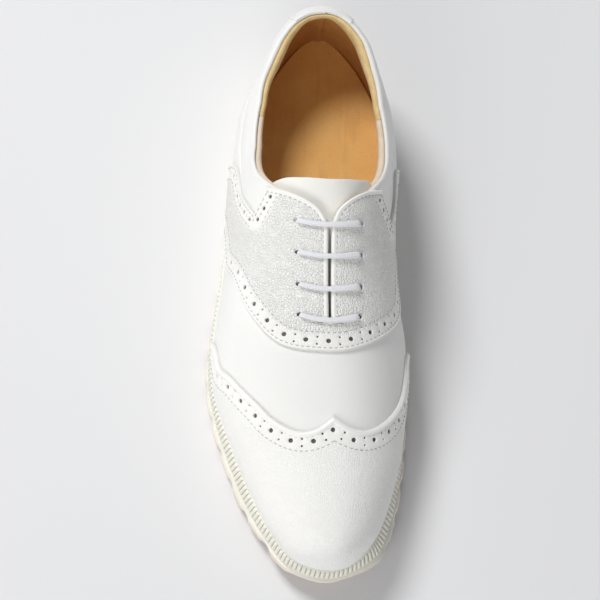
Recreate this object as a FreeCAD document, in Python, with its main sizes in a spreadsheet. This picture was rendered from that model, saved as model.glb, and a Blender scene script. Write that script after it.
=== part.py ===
import FreeCAD, Part
import math
import os

# Right golf shoe, Oxford wing tip on a moulded cup sole.
# Frame: +Z up, heel towards +Y, toe towards -Y, inner (medial) side towards +X.
# The origin is on the ground, under the middle of the shoe's box. All sizes are millimetres.

V = FreeCAD.Vector
doc = FreeCAD.newDocument("golf_shoe")

# ---------------------------------------------------------------- driving dimensions
DIMENSIONS = [
    ("sole_length", 297.0, "heel to toe, at the outsole"),
    ("sole_width", 103.4, "at the ball"),
    ("tread_thickness", 2.4, "rubber outsole"),
    ("lug_pitch", 16.6, "one wave of the tread"),
    ("lug_flat", 8.6, "flat of one lug"),
    ("lug_depth", 3.2, "recess between two lugs"),
    ("rib_pitch", 2.6, "ribs of the sidewall strip"),
    ("rib_depth", 0.9, "depth of a rib's groove"),
    ("strip_height", 9.8, "ribbed strip"),
    ("strip_thickness", 2.6, "ribbed strip"),
    ("lip_height", 1.5, "smooth lip above the strip"),
    ("leather", 1.4, "upper leather"),
    ("lining_leather", 1.1, "lining leather"),
    ("layer_gap", 0.1, "cement line between two layers"),
    ("collar_padding", 3.5, "foam in the collar"),
    ("board_thickness", 2.0, "insole board"),
    ("footbed_thickness", 4.0, "foam footbed"),
    ("sock_thickness", 1.2, "leather sock on the footbed"),
    ("shank_width", 15.0, "steel shank"),
    ("shank_thickness", 1.2, "steel shank"),
    ("lace_diameter", 2.2, "round core of the flat lace"),
    ("eyelet_hole", 3.4, "hole for the lace"),
    ("eyelet_flange", 7.0, "blind eyelet's outer diameter"),
    ("eyelet_thickness", 0.5, "blind eyelet"),
    ("tip_length", 14.0, "lace tip"),
    ("tip_diameter", 3.0, "lace tip"),
    ("tongue_drop", 7.8, "tongue's top below the vamp's outer face"),
    ("tongue_padding", 3.0, "foam in the tongue"),
]
sheet = doc.addObject("Spreadsheet::Sheet", "dimensions")
for row, (alias, value, note) in enumerate(DIMENSIONS, start=1):
    sheet.set(f"A{row}", alias)
    sheet.set(f"B{row}", str(value))
    sheet.set(f"C{row}", note)
    sheet.setAlias(f"B{row}", alias)
doc.recompute()


def dim(alias):
    """One driving dimension, read back from the sheet."""
    return float(sheet.get(alias))


# ---------------------------------------------------------------- the last: outer face of the vamp leather
# Stations from toe to heel: y, lateral edge x, medial edge x, crown x, crown z, feather z, squareness.
# The crown behind the throat closes the form; the topline cuts it away.
STATIONS = [
    (-145.5, 10.5, 10.5, 10.5, 26.5, 26.5, 2.0),
    (-141.0, -7.4, 24.0, 11.0, 42.0, 25.5, 2.1),
    (-130.0, -17.0, 33.0, 11.0, 48.0, 23.5, 2.2),
    (-112.0, -26.6, 40.2, 10.5, 52.0, 21.5, 2.2),
    (-85.0, -38.2, 47.0, 9.5, 57.0, 19.8, 2.2),
    (-55.0, -47.6, 49.8, 8.5, 66.0, 19.2, 2.1),
    (-28.0, -49.0, 49.5, 6.5, 78.0, 19.8, 2.0),
    (5.0, -44.5, 44.0, 5.0, 94.0, 21.8, 1.95),
    (34.0, -42.5, 42.5, 4.5, 110.0, 24.2, 2.15),
    (65.0, -40.5, 43.5, 3.5, 140.0, 26.7, 2.6),
    (95.0, -35.3, 40.0, 3.0, 145.0, 28.0, 2.7),
    (118.0, -22.4, 30.4, 3.5, 146.0, 28.4, 2.6),
    (133.0, -11.8, 20.0, 4.0, 146.0, 28.5, 2.4),
    (142.5, 4.0, 4.0, 4.0, 146.0, 28.5, 2.3),
]
TOE_Y = STATIONS[0][0]
HEEL_Y = STATIONS[-1][0]
LAT, MED, CROWN_X, CROWN_Z, FEATHER_Z, SQUARE = 1, 2, 3, 4, 5, 6


def station_angle(y):
    """Cosine spacing along the shoe: 0 at the toe, pi at the heel."""
    share = (y - TOE_Y) / (HEEL_Y - TOE_Y)
    return math.acos(max(-1.0, min(1.0, 1.0 - 2.0 * share)))


ANGLES = [station_angle(station[0]) for station in STATIONS]


def station_value(w, column):
    """Smooth curve through one column of the stations."""
    last = len(STATIONS) - 1
    at = [station[column] for station in STATIONS]
    step = [ANGLES[k + 1] - ANGLES[k] for k in range(last)]
    rise = [(at[k + 1] - at[k]) / step[k] for k in range(last)]

    def slope(k):
        if k == 0:
            return 2.0 * rise[0] - slope(1)
        if k == last:
            return 2.0 * rise[-1] - slope(last - 1)
        return (rise[k - 1] * step[k] + rise[k] * step[k - 1]) / (step[k - 1] + step[k])

    k = 0
    while k < last - 1 and w > ANGLES[k + 1]:
        k += 1
    u = (w - ANGLES[k]) / step[k]
    start = (1 + 2 * u) * (1 - u) ** 2 * at[k] + u * (1 - u) ** 2 * step[k] * slope(k)
    end = u * u * (3 - 2 * u) * at[k + 1] + u * u * (u - 1) * step[k] * slope(k + 1)
    return start + end


TUCK_HEIGHT = 12.0
TUCK_SHARE = 0.04
HEEL_WAIST_Z = 48.0
HEEL_WARP_START = 50.0


def half_width(w):
    """Half the width of the last at one section."""
    return (station_value(w, MED) - station_value(w, LAT)) / 2


def plan_normal(w):
    """Outward direction of the plan outline: its share across the shoe and its share along it."""
    step = 0.01
    before, after = max(0.0, w - step), min(math.pi, w + step)
    widening = (half_width(after) - half_width(before)) / (after - before)
    advance = (HEEL_Y - TOE_Y) / 2 * math.sin(w)
    size = math.hypot(widening, advance)
    return advance / size, -widening / size


def crown_share(w):
    """Share of an offset that lifts the crown: none at the two tips."""
    return math.sin(w) / math.sqrt(math.sin(w) ** 2 + 0.02)


def last_point(w, side, rise, offset):
    """A point of the last: side runs 1 medial to -1 lateral, rise 0 feather to 1 crown."""
    across, along = plan_normal(w)
    feather = station_value(w, FEATHER_Z)
    middle = (station_value(w, LAT) + station_value(w, MED)) / 2
    half = half_width(w) + offset * across
    height = station_value(w, CROWN_Z) + offset * crown_share(w) - feather
    x = middle + half * side + (station_value(w, CROWN_X) - middle) * rise ** 2 * (1 - abs(side))
    z = feather + height * rise
    low = max(0.0, 1.0 - (z - feather) / TUCK_HEIGHT)
    x = middle + (x - middle) * (1.0 - TUCK_SHARE * low * low)
    y = (TOE_Y + HEEL_Y) / 2 - (HEEL_Y - TOE_Y) / 2 * math.cos(w) + offset * along
    back = max(0.0, (y - HEEL_WARP_START) / (HEEL_Y - HEEL_WARP_START)) ** 2
    if z > HEEL_WAIST_Z:
        lean = -15.0 * ((z - HEEL_WAIST_Z) / 44.0) ** 2
    else:
        lean = -3.0 * ((HEEL_WAIST_Z - z) / 20.0) ** 2
    return V(x, y + back * max(-16.0, lean), z)


def over_point(w, turn, offset):
    """A point of a section that runs over the crown: turn 0 medial feather to pi lateral feather."""
    square = station_value(w, SQUARE)
    across, up = math.cos(turn), abs(math.sin(turn))
    reach = (abs(across) ** square + up ** square) ** (-1.0 / square)
    return last_point(w, across * reach, up * reach, offset)


def wall_point(w, side, z, offset):
    """A point of the side wall at one height: side is 1 medial or -1 lateral."""
    feather = station_value(w, FEATHER_Z)
    rise = (z - feather) / (station_value(w, CROWN_Z) + offset * crown_share(w) - feather)
    square = station_value(w, SQUARE)
    reach = (1.0 - min(0.999, max(0.0, rise)) ** square) ** (1.0 / square)
    return last_point(w, side * reach, max(0.0, rise), offset)


# ---------------------------------------------------------------- shells between two offsets of the last
OVER_ROWS = 30
OVER_COLUMNS = 26
WALL_ROWS = 22
WALL_COLUMNS = 12
FRONT_END_Y = 84.0


def closed_solid(faces):
    """Sew faces into one outward-facing solid."""
    shell = Part.Shell(Part.makeCompound(faces).Faces)
    shell.sewShape()
    solid = Part.Solid(shell)
    if solid.Volume < 0:
        solid.reverse()
    return solid


def layer(points_at, outer, inner, toe_pole):
    """Solid between two offset sheets; points_at(offset) gives the rows of a sheet."""
    sheets = []
    for offset in (outer, inner):
        surface = Part.BSplineSurface()
        surface.interpolate(points_at(offset))
        sheets.append(surface)
    faces = [surface.toShape() for surface in sheets]
    u0, u1, v0, v1 = sheets[0].bounds()
    pairs = [(s.uIso(u1).toShape(), s.vIso(v0).toShape(), s.vIso(v1).toShape()) for s in sheets]
    for outer_edge, inner_edge in zip(*pairs):
        faces.append(Part.makeRuledSurface(outer_edge, inner_edge))
    if not toe_pole:
        faces.append(Part.makeRuledSurface(sheets[0].uIso(u0).toShape(), sheets[1].uIso(u0).toShape()))
    return closed_solid(faces)


def over_layer(outer, inner):
    """Layer of the front: from the toe's tip over the crown, back to behind the throat."""
    def rows(offset):
        grid = []
        for row in range(OVER_ROWS + 1):
            w = station_angle(FRONT_END_Y) * row / OVER_ROWS
            turns = [math.pi * column / OVER_COLUMNS for column in range(OVER_COLUMNS + 1)]
            grid.append([over_point(w, turn, offset) for turn in turns])
        return grid
    return layer(rows, outer, inner, True)


def wall_top(y):
    """Upper end of the wall sheets: just above the topline."""
    crown = station_value(station_angle(y), CROWN_Z)
    return min(101.0, crown - 14.0)


def wall_layer(outer, inner, start_y):
    """Layer of the back: from the medial side round the heel to the lateral side."""
    start = station_angle(start_y)

    def rows(offset):
        grid = []
        for row in range(-WALL_ROWS, WALL_ROWS + 1):
            side = 1 if row <= 0 else -1
            w = math.pi - (math.pi - start) * abs(row) / WALL_ROWS
            y = (TOE_Y + HEEL_Y) / 2 - (HEEL_Y - TOE_Y) / 2 * math.cos(w)
            feather = station_value(w, FEATHER_Z)
            top = wall_top(y)
            heights = [feather + (top - feather) * c / WALL_COLUMNS for c in range(WALL_COLUMNS + 1)]
            grid.append([wall_point(w, side, z, offset) for z in heights])
        return grid
    return layer(rows, outer, inner, False)


# ---------------------------------------------------------------- cutting tools
FAR = 90.0
HIGH = 170.0


def curve_edge(points):
    """A smooth open curve through points."""
    curve = Part.BSplineCurve()
    curve.interpolate(points)
    return curve.toShape()


def plan_tool(curves, corners):
    """Upright prism over a plan outline: smooth runs, joined by straight corners."""
    edges = []
    ends = []
    for run in curves:
        points = [V(x, y, 0) for x, y in run]
        edges.append(curve_edge(points) if len(points) > 2 else Part.makeLine(*points))
        ends.append((points[0], points[-1]))
    chain = [ends[-1][1]] + [V(x, y, 0) for x, y in corners] + [ends[0][0]]
    for first, second in zip(chain, chain[1:]):
        if first.distanceToPoint(second) > 1e-6:
            edges.append(Part.makeLine(first, second))
    return Part.Face(Part.Wire(Part.__sortEdges__(edges))).extrude(V(0, 0, HIGH))


def side_tool(curve, closing, x_from, x_to):
    """Prism across the shoe over a side view outline: one smooth run and straight closing corners."""
    points = [V(x_from, y, z) for y, z in curve]
    chain = [points[-1]] + [V(x_from, y, z) for y, z in closing] + [points[0]]
    edges = [curve_edge(points)]
    edges += [Part.makeLine(first, second) for first, second in zip(chain, chain[1:])]
    return Part.Face(Part.Wire(edges)).extrude(V(x_to - x_from, 0, 0))


def single(shape):
    """The shape's one solid, or its largest where a cut left crumbs."""
    return max(shape.Solids, key=lambda solid: solid.Volume)


def add_feature(name, shape):
    """A sub-part held as a plain shape."""
    feature = doc.addObject("Part::Feature", name)
    feature.Label = name
    feature.Shape = shape
    feature.Placement = FreeCAD.Placement()
    sub_parts[name] = feature
    return feature


sub_parts = {}

# ---------------------------------------------------------------- sole outlines and profiles
SOLE_PLAN = [
    (12.0, -148.2), (-9.5, -142.6), (-23.0, -126.0), (-33.5, -108.0), (-42.0, -86.0), (-49.0, -62.0),
    (-51.8, -38.0), (-49.0, -12.0), (-43.5, 18.0), (-40.5, 52.0), (-36.8, 88.0), (-28.6, 118.0),
    (-14.5, 139.6), (4.0, 148.5), (22.5, 139.6), (35.4, 118.0), (41.6, 88.0), (42.5, 52.0),
    (43.0, 18.0), (48.0, -12.0), (51.6, -42.0), (51.4, -68.0), (48.6, -97.0), (44.2, -118.0),
    (36.0, -136.5),
]
PLAN_LENGTH = 297.0
PLAN_WIDTH = 103.4
TOP_PROFILE = [(-150.0, 27.0), (-130.0, 23.2), (-105.0, 20.9), (-75.0, 19.4), (-42.0, 19.4),
               (0.0, 21.4), (40.0, 24.7), (80.0, 27.5), (115.0, 28.4), (150.0, 28.5)]
SPRING_START = -72.0
SPRING_RISE = 9.4
SPRING_RUN = 76.0
HEEL_BEVEL_START = 128.0
HEEL_BEVEL = 2.4
HEEL_BEVEL_RUN = 20.0


def plan_scale(point):
    """A plan point at the sheet's length and width."""
    return (point[0] * dim("sole_width") / PLAN_WIDTH, point[1] * dim("sole_length") / PLAN_LENGTH)


def closed_curve(points):
    """A smooth closed curve through plan points."""
    curve = Part.BSplineCurve()
    curve.interpolate(Points=[V(x, y, 0) for x, y in points], PeriodicFlag=True)
    return curve


def turning(points):
    """1 where the outline runs clockwise seen from above, -1 where it runs the other way."""
    pairs = zip(points, points[1:] + points[:1])
    return -1.0 if sum(a[0] * b[1] - b[0] * a[1] for a, b in pairs) > 0 else 1.0


def inset_plan(points, inset):
    """Plan points moved square to the smooth closed curve through them, inwards for a positive inset."""
    curve = closed_curve(points)
    shift = inset * turning(points)
    moved = []
    for x, y in points:
        along = curve.tangent(curve.parameter(V(x, y, 0)))[0]
        moved.append((x + along.y * shift, y - along.x * shift))
    return moved


def ground_line(y):
    """Height of the tread's lowest points: toe spring and heel bevel."""
    if y < SPRING_START:
        return SPRING_RISE * ((SPRING_START - y) / SPRING_RUN) ** 2
    if y > HEEL_BEVEL_START:
        return HEEL_BEVEL * ((y - HEEL_BEVEL_START) / HEEL_BEVEL_RUN) ** 2
    return 0.0


def tread_edges(lift):
    """Side view of the tread: flat lugs joined by shallow arcs, toe to heel."""
    pitch = dim("lug_pitch")
    flat = dim("lug_flat")
    depth = dim("lug_depth")
    edges = []
    y = -158.0
    while y < 152.0:
        start = V(0, y, ground_line(y) + lift)
        end = V(0, y + flat, ground_line(y + flat) + lift)
        edges.append(Part.LineSegment(start, end))
        following = V(0, y + pitch, ground_line(y + pitch) + lift)
        top = (end + following) * 0.5 + V(0, 0, depth)
        edges.append(Part.Arc(end, top, following))
        y += pitch
    return edges


SOLE = [plan_scale(point) for point in SOLE_PLAN]


# ---------------------------------------------------------------- sole pieces made as bodies
def origin_plane(body, role):
    """One of the body's own origin planes."""
    return [feature for feature in body.Origin.OriginFeatures if feature.Role == role][0]


def add_sketch(body, name, role, geometry):
    """A sketch on one of the body's origin planes."""
    sketch = body.newObject("Sketcher::SketchObject", name)
    sketch.AttachmentSupport = (origin_plane(body, role), [""])
    sketch.MapMode = "FlatFace"
    for item in geometry:
        sketch.addGeometry(item, False)
    return sketch


def flat(vector):
    """A side view point (y, z) written in a sketch's own plane."""
    return V(vector.y, vector.z, 0)


def to_sketch(edge):
    """Side view geometry written in a sketch's own plane."""
    if isinstance(edge, Part.LineSegment):
        return Part.LineSegment(flat(edge.StartPoint), flat(edge.EndPoint))
    if isinstance(edge, Part.Arc):
        arc = edge.toShape()
        middle = arc.valueAt((arc.FirstParameter + arc.LastParameter) / 2)
        return Part.Arc(flat(edge.StartPoint), flat(middle), flat(edge.EndPoint))
    return edge


def smooth_profile(points, lift):
    """A smooth side view curve, raised by lift."""
    curve = Part.BSplineCurve()
    curve.interpolate([V(y, z + lift, 0) for y, z in points])
    return curve


def pocket(body, name, geometry):
    """Cut a side view region right across the body."""
    before = body.Shape.Volume
    sketch = add_sketch(body, name + "_sketch", "YZ_Plane", geometry)
    cut = body.newObject("PartDesign::Pocket", name)
    cut.Profile = sketch
    cut.Type = "ThroughAll"
    cut.SideType = "Symmetric"
    doc.recompute()
    assert cut.Shape.Volume < before - 1.0, name
    return cut


def region_above(points, lift):
    """Sketch geometry of everything above a side view curve."""
    curve = smooth_profile(points, lift)
    start, end = curve.StartPoint, curve.EndPoint
    corner_a = V(end.x, HIGH, 0)
    corner_b = V(start.x, HIGH, 0)
    return [curve, Part.LineSegment(end, corner_a), Part.LineSegment(corner_a, corner_b),
            Part.LineSegment(corner_b, start)]


def region_below(points, lift):
    """Sketch geometry of everything below a side view curve."""
    curve = smooth_profile(points, lift)
    start, end = curve.StartPoint, curve.EndPoint
    corner_a = V(end.x, -FAR, 0)
    corner_b = V(start.x, -FAR, 0)
    return [curve, Part.LineSegment(end, corner_a), Part.LineSegment(corner_a, corner_b),
            Part.LineSegment(corner_b, start)]


def region_below_tread(lift):
    """Sketch geometry of everything below the waved tread line."""
    edges = [to_sketch(edge) for edge in tread_edges(lift)]
    start, end = edges[0].StartPoint, edges[-1].EndPoint
    corner_a = V(end.x, -FAR, 0)
    corner_b = V(start.x, -FAR, 0)
    return edges + [Part.LineSegment(end, corner_a), Part.LineSegment(corner_a, corner_b),
                    Part.LineSegment(corner_b, start)]


def plan_body(name, plan, height):
    """A body that starts as an upright block over a smooth plan outline."""
    body = doc.addObject("PartDesign::Body", name)
    body.Label = name
    sketch = add_sketch(body, name + "_plan", "XY_Plane", [closed_curve(plan)])
    pad = body.newObject("PartDesign::Pad", name + "_block")
    pad.Profile = sketch
    pad.setExpression("Length", height)
    doc.recompute()
    sub_parts[name] = body
    return body


BLOCK = "dimensions.sole_width * 0.5"
GAP = dim("layer_gap")
TREAD = dim("tread_thickness")

outsole = plan_body("outsole", SOLE, "dimensions.sole_width * 0.3")
region = [to_sketch(edge) for edge in tread_edges(TREAD)]
first_point, last_end = region[0].StartPoint, region[-1].EndPoint
region += [
    Part.LineSegment(last_end, V(last_end.x, HIGH, 0)),
    Part.LineSegment(V(last_end.x, HIGH, 0), V(first_point.x, HIGH, 0)),
    Part.LineSegment(V(first_point.x, HIGH, 0), first_point),
]
pocket(outsole, "outsole_top", region)
pocket(outsole, "outsole_tread", region_below_tread(0.0))

midsole_block = plan_body("midsole_block", SOLE, BLOCK)
pocket(midsole_block, "midsole_top", region_above(TOP_PROFILE, -2 * GAP))
pocket(midsole_block, "midsole_bottom", region_below_tread(TREAD))


def thickness_body(name, plan, low, high):
    """A body between two raised copies of the top profile."""
    body = plan_body(name, plan, BLOCK)
    pocket(body, name + "_top", region_above(TOP_PROFILE, high))
    pocket(body, name + "_bottom", region_below(TOP_PROFILE, low))
    return body


def inner_plan(offset):
    """Plan outline of the last's feather edge at an offset."""
    count = 13
    angles = [math.pi * (k + 0.5) / count for k in range(count)]
    medial = [last_point(w, 1.0, 0.0, offset) for w in angles]
    lateral = [last_point(w, -1.0, 0.0, offset) for w in reversed(angles)]
    toe = last_point(0.0, 0.0, 0.0, offset)
    heel = last_point(math.pi, 0.0, 0.0, offset)
    return [(p.x, p.y) for p in [toe] + medial + [heel] + lateral]


LEATHER = dim("leather")
LINING = dim("lining_leather")
INSIDE = -(LEATHER + 2 * LINING + 3 * GAP)
BOARD = dim("board_thickness")
FOOTBED = dim("footbed_thickness")
SOCK = dim("sock_thickness")
BED_CLEARANCE = 1.6
bed_plan = inner_plan(INSIDE - BED_CLEARANCE)
thickness_body("insole_board", bed_plan, GAP, GAP + BOARD)
thickness_body("footbed", bed_plan, 2 * GAP + BOARD, 2 * GAP + BOARD + FOOTBED)
thickness_body("sock", bed_plan, 3 * GAP + BOARD + FOOTBED, 3 * GAP + BOARD + FOOTBED + SOCK)

# ---------------------------------------------------------------- shank, let into the midsole's top
SHANK_START = -22.0
SHANK_END = 88.0
SHANK_X = 2.0


def shank_profile(lift_low, lift_high):
    """Side view of the shank, following the midsole's top."""
    run = [(y, z) for y, z in TOP_PROFILE if SHANK_START <= y <= SHANK_END]
    run = [(SHANK_START, 20.2)] + run + [(SHANK_END, 27.8)]
    upper = smooth_profile(run, lift_high)
    lower = smooth_profile(run, lift_low)
    return [upper, lower, Part.LineSegment(upper.StartPoint, lower.StartPoint),
            Part.LineSegment(upper.EndPoint, lower.EndPoint)]


def shank_body(name, width, low, high):
    """A strip of the shank's profile, centred under the foot."""
    body = doc.addObject("PartDesign::Body", name)
    body.Label = name
    sketch = add_sketch(body, name + "_profile", "YZ_Plane", shank_profile(low, high))
    pad = body.newObject("PartDesign::Pad", name + "_strip")
    pad.Profile = sketch
    pad.SideType = "Symmetric"
    pad.setExpression("Length", width)
    body.Placement = FreeCAD.Placement(V(SHANK_X, 0, 0), FreeCAD.Rotation())
    doc.recompute()
    return body


SHANK = dim("shank_thickness")
shank = shank_body("shank", "dimensions.shank_width", -1.0 - SHANK, -1.0)
sub_parts["shank"] = shank
shank_slot = shank_body("shank_slot", "dimensions.shank_width + 0.4", -1.2 - SHANK, 5.0)

# ---------------------------------------------------------------- ribbed strip round the sidewall
STRIP_TOP = -dim("lip_height")
STRIP_BOTTOM = STRIP_TOP - dim("strip_height")


def profile_slab(low, high):
    """Prism across the shoe between two raised copies of the top profile."""
    upper = curve_edge([V(-FAR, y, z + high) for y, z in TOP_PROFILE])
    lower = curve_edge([V(-FAR, y, z + low) for y, z in TOP_PROFILE])
    ends = [Part.makeLine(upper.Vertexes[k].Point, lower.Vertexes[k].Point) for k in (0, 1)]
    return Part.Face(Part.Wire(Part.__sortEdges__([upper, lower] + ends))).extrude(V(2 * FAR, 0, 0))


def plan_prism(plan):
    """Upright block over a smooth plan outline."""
    return Part.Face(Part.Wire(closed_curve(plan).toShape())).extrude(V(0, 0, 60.0))


def ribbed_outline(plan, pitch, depth):
    """Closed outline with square grooves, one for each rib."""
    curve = closed_curve(plan)
    count = int(round(curve.length() / pitch))
    corners = []
    for rib in range(count):
        for share, out in ((0.0, 0.0), (0.58, 0.0), (0.66, -depth), (0.92, -depth)):
            at = curve.parameterAtDistance(curve.length() * (rib + share) / count, curve.FirstParameter)
            where = curve.value(at)
            along = curve.tangent(at)[0]
            normal = V(-along.y, along.x, 0) * turning(plan)
            corners.append(where + normal * out)
    return Part.Face(Part.makePolygon(corners + corners[:1]))


strip_inner = plan_prism(inset_plan(SOLE, dim("strip_thickness")))
strip_band = profile_slab(STRIP_BOTTOM, STRIP_TOP)
strip_block = ribbed_outline(SOLE, dim("rib_pitch"), dim("rib_depth")).extrude(V(0, 0, 60.0))
add_feature("sidewall_strip", single(strip_block.cut(strip_inner).common(strip_band)))
strip_seat = doc.addObject("Part::Feature", "strip_seat")
strip_seat.Shape = plan_prism(inset_plan(SOLE, -3.0)).cut(strip_inner).common(strip_band)

seats = doc.addObject("Part::MultiFuse", "midsole_seats")
seats.Shapes = [strip_seat, shank_slot]
midsole = doc.addObject("Part::Cut", "midsole")
midsole.Base = midsole_block
midsole.Tool = seats
midsole.Label = "midsole"
del sub_parts["midsole_block"]
sub_parts["midsole"] = midsole
doc.recompute()

# ---------------------------------------------------------------- pattern lines of the upper
# Plan views, x and y. Each line runs from the lateral side to the medial side.
WING_LATERAL = [(-56.0, -26.0), (-50.0, -37.0), (-40.3, -51.5), (-28.1, -66.6), (-18.8, -76.5),
                (-8.3, -82.5), (0.5, -82.0), (11.0, -76.0)]
WING_MEDIAL = [(11.0, -76.0), (19.4, -80.6), (27.1, -80.6), (37.7, -72.0), (46.0, -56.8),
               (51.0, -36.0), (56.0, -26.0)]
SADDLE_FRONT = [(-56.0, 22.0), (-47.0, 14.0), (-39.5, -5.0), (-31.5, -26.0), (-18.0, -41.5),
                (0.0, -46.0), (18.0, -44.5), (34.0, -34.5), (43.5, -18.0), (48.5, 2.0), (56.0, 16.0)]
CORNER_LATERAL = (-25.0, 31.0)
CORNER_MEDIAL = (30.0, 33.0)
NOTCH_LATERAL = (-30.5, 21.5)
NOTCH_MEDIAL = (37.5, 24.0)
SADDLE_BACK_LATERAL = [NOTCH_LATERAL, (-37.0, 37.0), (-44.0, 62.0), (-56.0, 76.0)]
SADDLE_BACK_MEDIAL = [NOTCH_MEDIAL, (42.0, 40.0), (47.0, 64.0), (56.0, 78.0)]
THROAT_TOP_X = 4.6
THROAT_TOP_Y = 10.0
SLIT_END_X = 6.3
SLIT_END_Y = -32.0
SLIT_WIDTH = 1.8
TOPLINE = [(20.0, 101.0), (31.0, 92.5), (42.0, 84.0), (56.0, 77.5), (72.0, 74.5), (90.0, 75.5),
           (108.0, 81.0), (124.0, 89.0), (138.0, 92.5), (160.0, 92.8)]
COLLAR_DEPTH = 20.0

toe_side = plan_tool([WING_LATERAL, WING_MEDIAL], [(56.0, -200.0), (-56.0, -200.0)])
throat = plan_tool(
    [[CORNER_LATERAL, (-12.0, 24.0), (-1.5, 17.5), (THROAT_TOP_X - SLIT_WIDTH / 2, THROAT_TOP_Y)],
     [(THROAT_TOP_X - SLIT_WIDTH / 2, THROAT_TOP_Y), (SLIT_END_X - SLIT_WIDTH / 2, SLIT_END_Y)],
     [(SLIT_END_X - SLIT_WIDTH / 2, SLIT_END_Y), (SLIT_END_X + SLIT_WIDTH / 2, SLIT_END_Y)],
     [(SLIT_END_X + SLIT_WIDTH / 2, SLIT_END_Y), (THROAT_TOP_X + SLIT_WIDTH / 2, THROAT_TOP_Y)],
     [(THROAT_TOP_X + SLIT_WIDTH / 2, THROAT_TOP_Y), (9.0, 17.5), (18.0, 25.0), CORNER_MEDIAL]],
    [(CORNER_MEDIAL[0], 120.0), (CORNER_LATERAL[0], 120.0)])
saddle_zone = plan_tool(
    [SADDLE_FRONT, [(56.0, 16.0), (56.0, 78.0)], SADDLE_BACK_MEDIAL[::-1],
     [NOTCH_MEDIAL, CORNER_MEDIAL], [CORNER_MEDIAL, CORNER_LATERAL],
     [CORNER_LATERAL, NOTCH_LATERAL], SADDLE_BACK_LATERAL], [])
above_topline = side_tool(TOPLINE, [(160.0, HIGH), (20.0, HIGH)], -FAR, FAR)
collar_zone = side_tool([(y, z - COLLAR_DEPTH) for y, z in TOPLINE],
                        [(160.0, HIGH), (20.0, HIGH)], -FAR, FAR)


def half_space(normal_x, at_x, from_y, to_y):
    """Box on one side of an upright plane along the shoe."""
    x = at_x if normal_x > 0 else at_x - FAR
    return Part.makeBox(FAR, to_y - from_y, HIGH, V(x, from_y, 0))


# ---------------------------------------------------------------- upper: outer pieces
OVERLAY_OUT = GAP + LEATHER
shell_overlay_front = over_layer(OVERLAY_OUT, GAP)
shell_base_front = over_layer(0.0, -LEATHER)

add_feature("toe_cap", single(shell_overlay_front.common(toe_side)))
saddle_shape = single(shell_overlay_front.common(saddle_zone).cut(throat))

SEAM_TOP = (2.0, 104.0)
SEAM_BASE = (44.0, 12.0)
VAMP_UNDER_CAP = plan_tool([[(x, y - 12.0) for x, y in WING_LATERAL[:-1]] + [(11.0, -92.0)]
                            + [(x, y - 12.0) for x, y in WING_MEDIAL[1:]]],
                           [(56.0, -200.0), (-56.0, -200.0)])


def behind_seam(shift):
    """Everything behind the slanted seam of vamp and quarters, under the saddle."""
    corners = [(SEAM_BASE[0] + shift, 0.0), SEAM_BASE, SEAM_TOP, (SEAM_TOP[0] + shift, HIGH),
               (200.0, HIGH), (200.0, 0.0)]
    points = [V(-FAR, y + (shift if index in (1, 2) else 0.0), z) for index, (y, z) in enumerate(corners)]
    return Part.Face(Part.makePolygon(points + points[:1])).extrude(V(2 * FAR, 0, 0))


vamp_shape = single(shell_base_front.cut(VAMP_UNDER_CAP).cut(behind_seam(0.0)).cut(throat))

QUARTER_FRONT_Y = 0.0
QUARTER_SEAM_X = 4.0
wall_base = wall_layer(0.0, -LEATHER, QUARTER_FRONT_Y)
wall_base = wall_base.cut(above_topline).common(behind_seam(2 * GAP))
add_feature("quarter_lateral", single(wall_base.common(half_space(-1, QUARTER_SEAM_X - GAP / 2, -5.0, 160.0))))
add_feature("quarter_medial", single(wall_base.common(half_space(1, QUARTER_SEAM_X + GAP / 2, -5.0, 160.0))))

STRAP_HALF = 17.0
STRAP_BOTTOM_Z = 52.0
wall_overlay = wall_layer(OVERLAY_OUT, GAP, 60.0)
strap_zone = Part.makeBox(2 * STRAP_HALF, 80.0, HIGH, V(QUARTER_SEAM_X - STRAP_HALF, 100.0, STRAP_BOTTOM_Z))
add_feature("back_strap", single(wall_overlay.cut(above_topline).common(strap_zone)))

# ---------------------------------------------------------------- upper: stiffeners, padding and linings
STIFF_OUT = -(LEATHER + GAP)
STIFF_IN = STIFF_OUT - LINING
LINING_OUT = STIFF_IN - GAP
LINING_IN = LINING_OUT - LINING

PUFF_BACK_Y = -104.0
shell_stiff_front = over_layer(STIFF_OUT, STIFF_IN)
puff_zone = Part.makeBox(2 * FAR, 100.0, HIGH, V(-FAR, PUFF_BACK_Y - 100.0, 0))
add_feature("toe_puff", single(shell_stiff_front.common(puff_zone)))

COUNTER_TOP_Z = 58.0
COUNTER_FRONT_Y = 74.0
wall_stiff = wall_layer(STIFF_OUT, STIFF_IN, COUNTER_FRONT_Y)
counter_zone = Part.makeBox(2 * FAR, 200.0, COUNTER_TOP_Z - 20.0, V(-FAR, 0.0, 20.0))
counter_shape = wall_stiff.cut(collar_zone).common(counter_zone)
add_feature("heel_counter", single(counter_shape))

PADDING = dim("collar_padding")
FOAM_IN = STIFF_OUT - PADDING
COLLAR_FRONT_Y = 46.0
wall_foam = wall_layer(STIFF_OUT, FOAM_IN, COLLAR_FRONT_Y)
collar_band = collar_zone.cut(above_topline)
add_feature("collar_foam", single(wall_foam.common(collar_band)))
wall_collar_lining = wall_layer(FOAM_IN - GAP, FOAM_IN - GAP - LINING, COLLAR_FRONT_Y)
collar_lining_shape = wall_collar_lining.common(collar_band)
COLLAR_LINING_FRONT_Y = 84.0
back_part = Part.makeBox(2 * FAR, 120.0, HIGH, V(-FAR, COLLAR_LINING_FRONT_Y + GAP / 2, 0))
front_part = Part.makeBox(2 * FAR, 120.0, HIGH, V(-FAR, COLLAR_LINING_FRONT_Y - GAP / 2 - 120.0, 0))
add_feature("collar_lining", single(collar_lining_shape.common(back_part)))
lateral_part = half_space(-1, QUARTER_SEAM_X, -160.0, 160.0)
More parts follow.
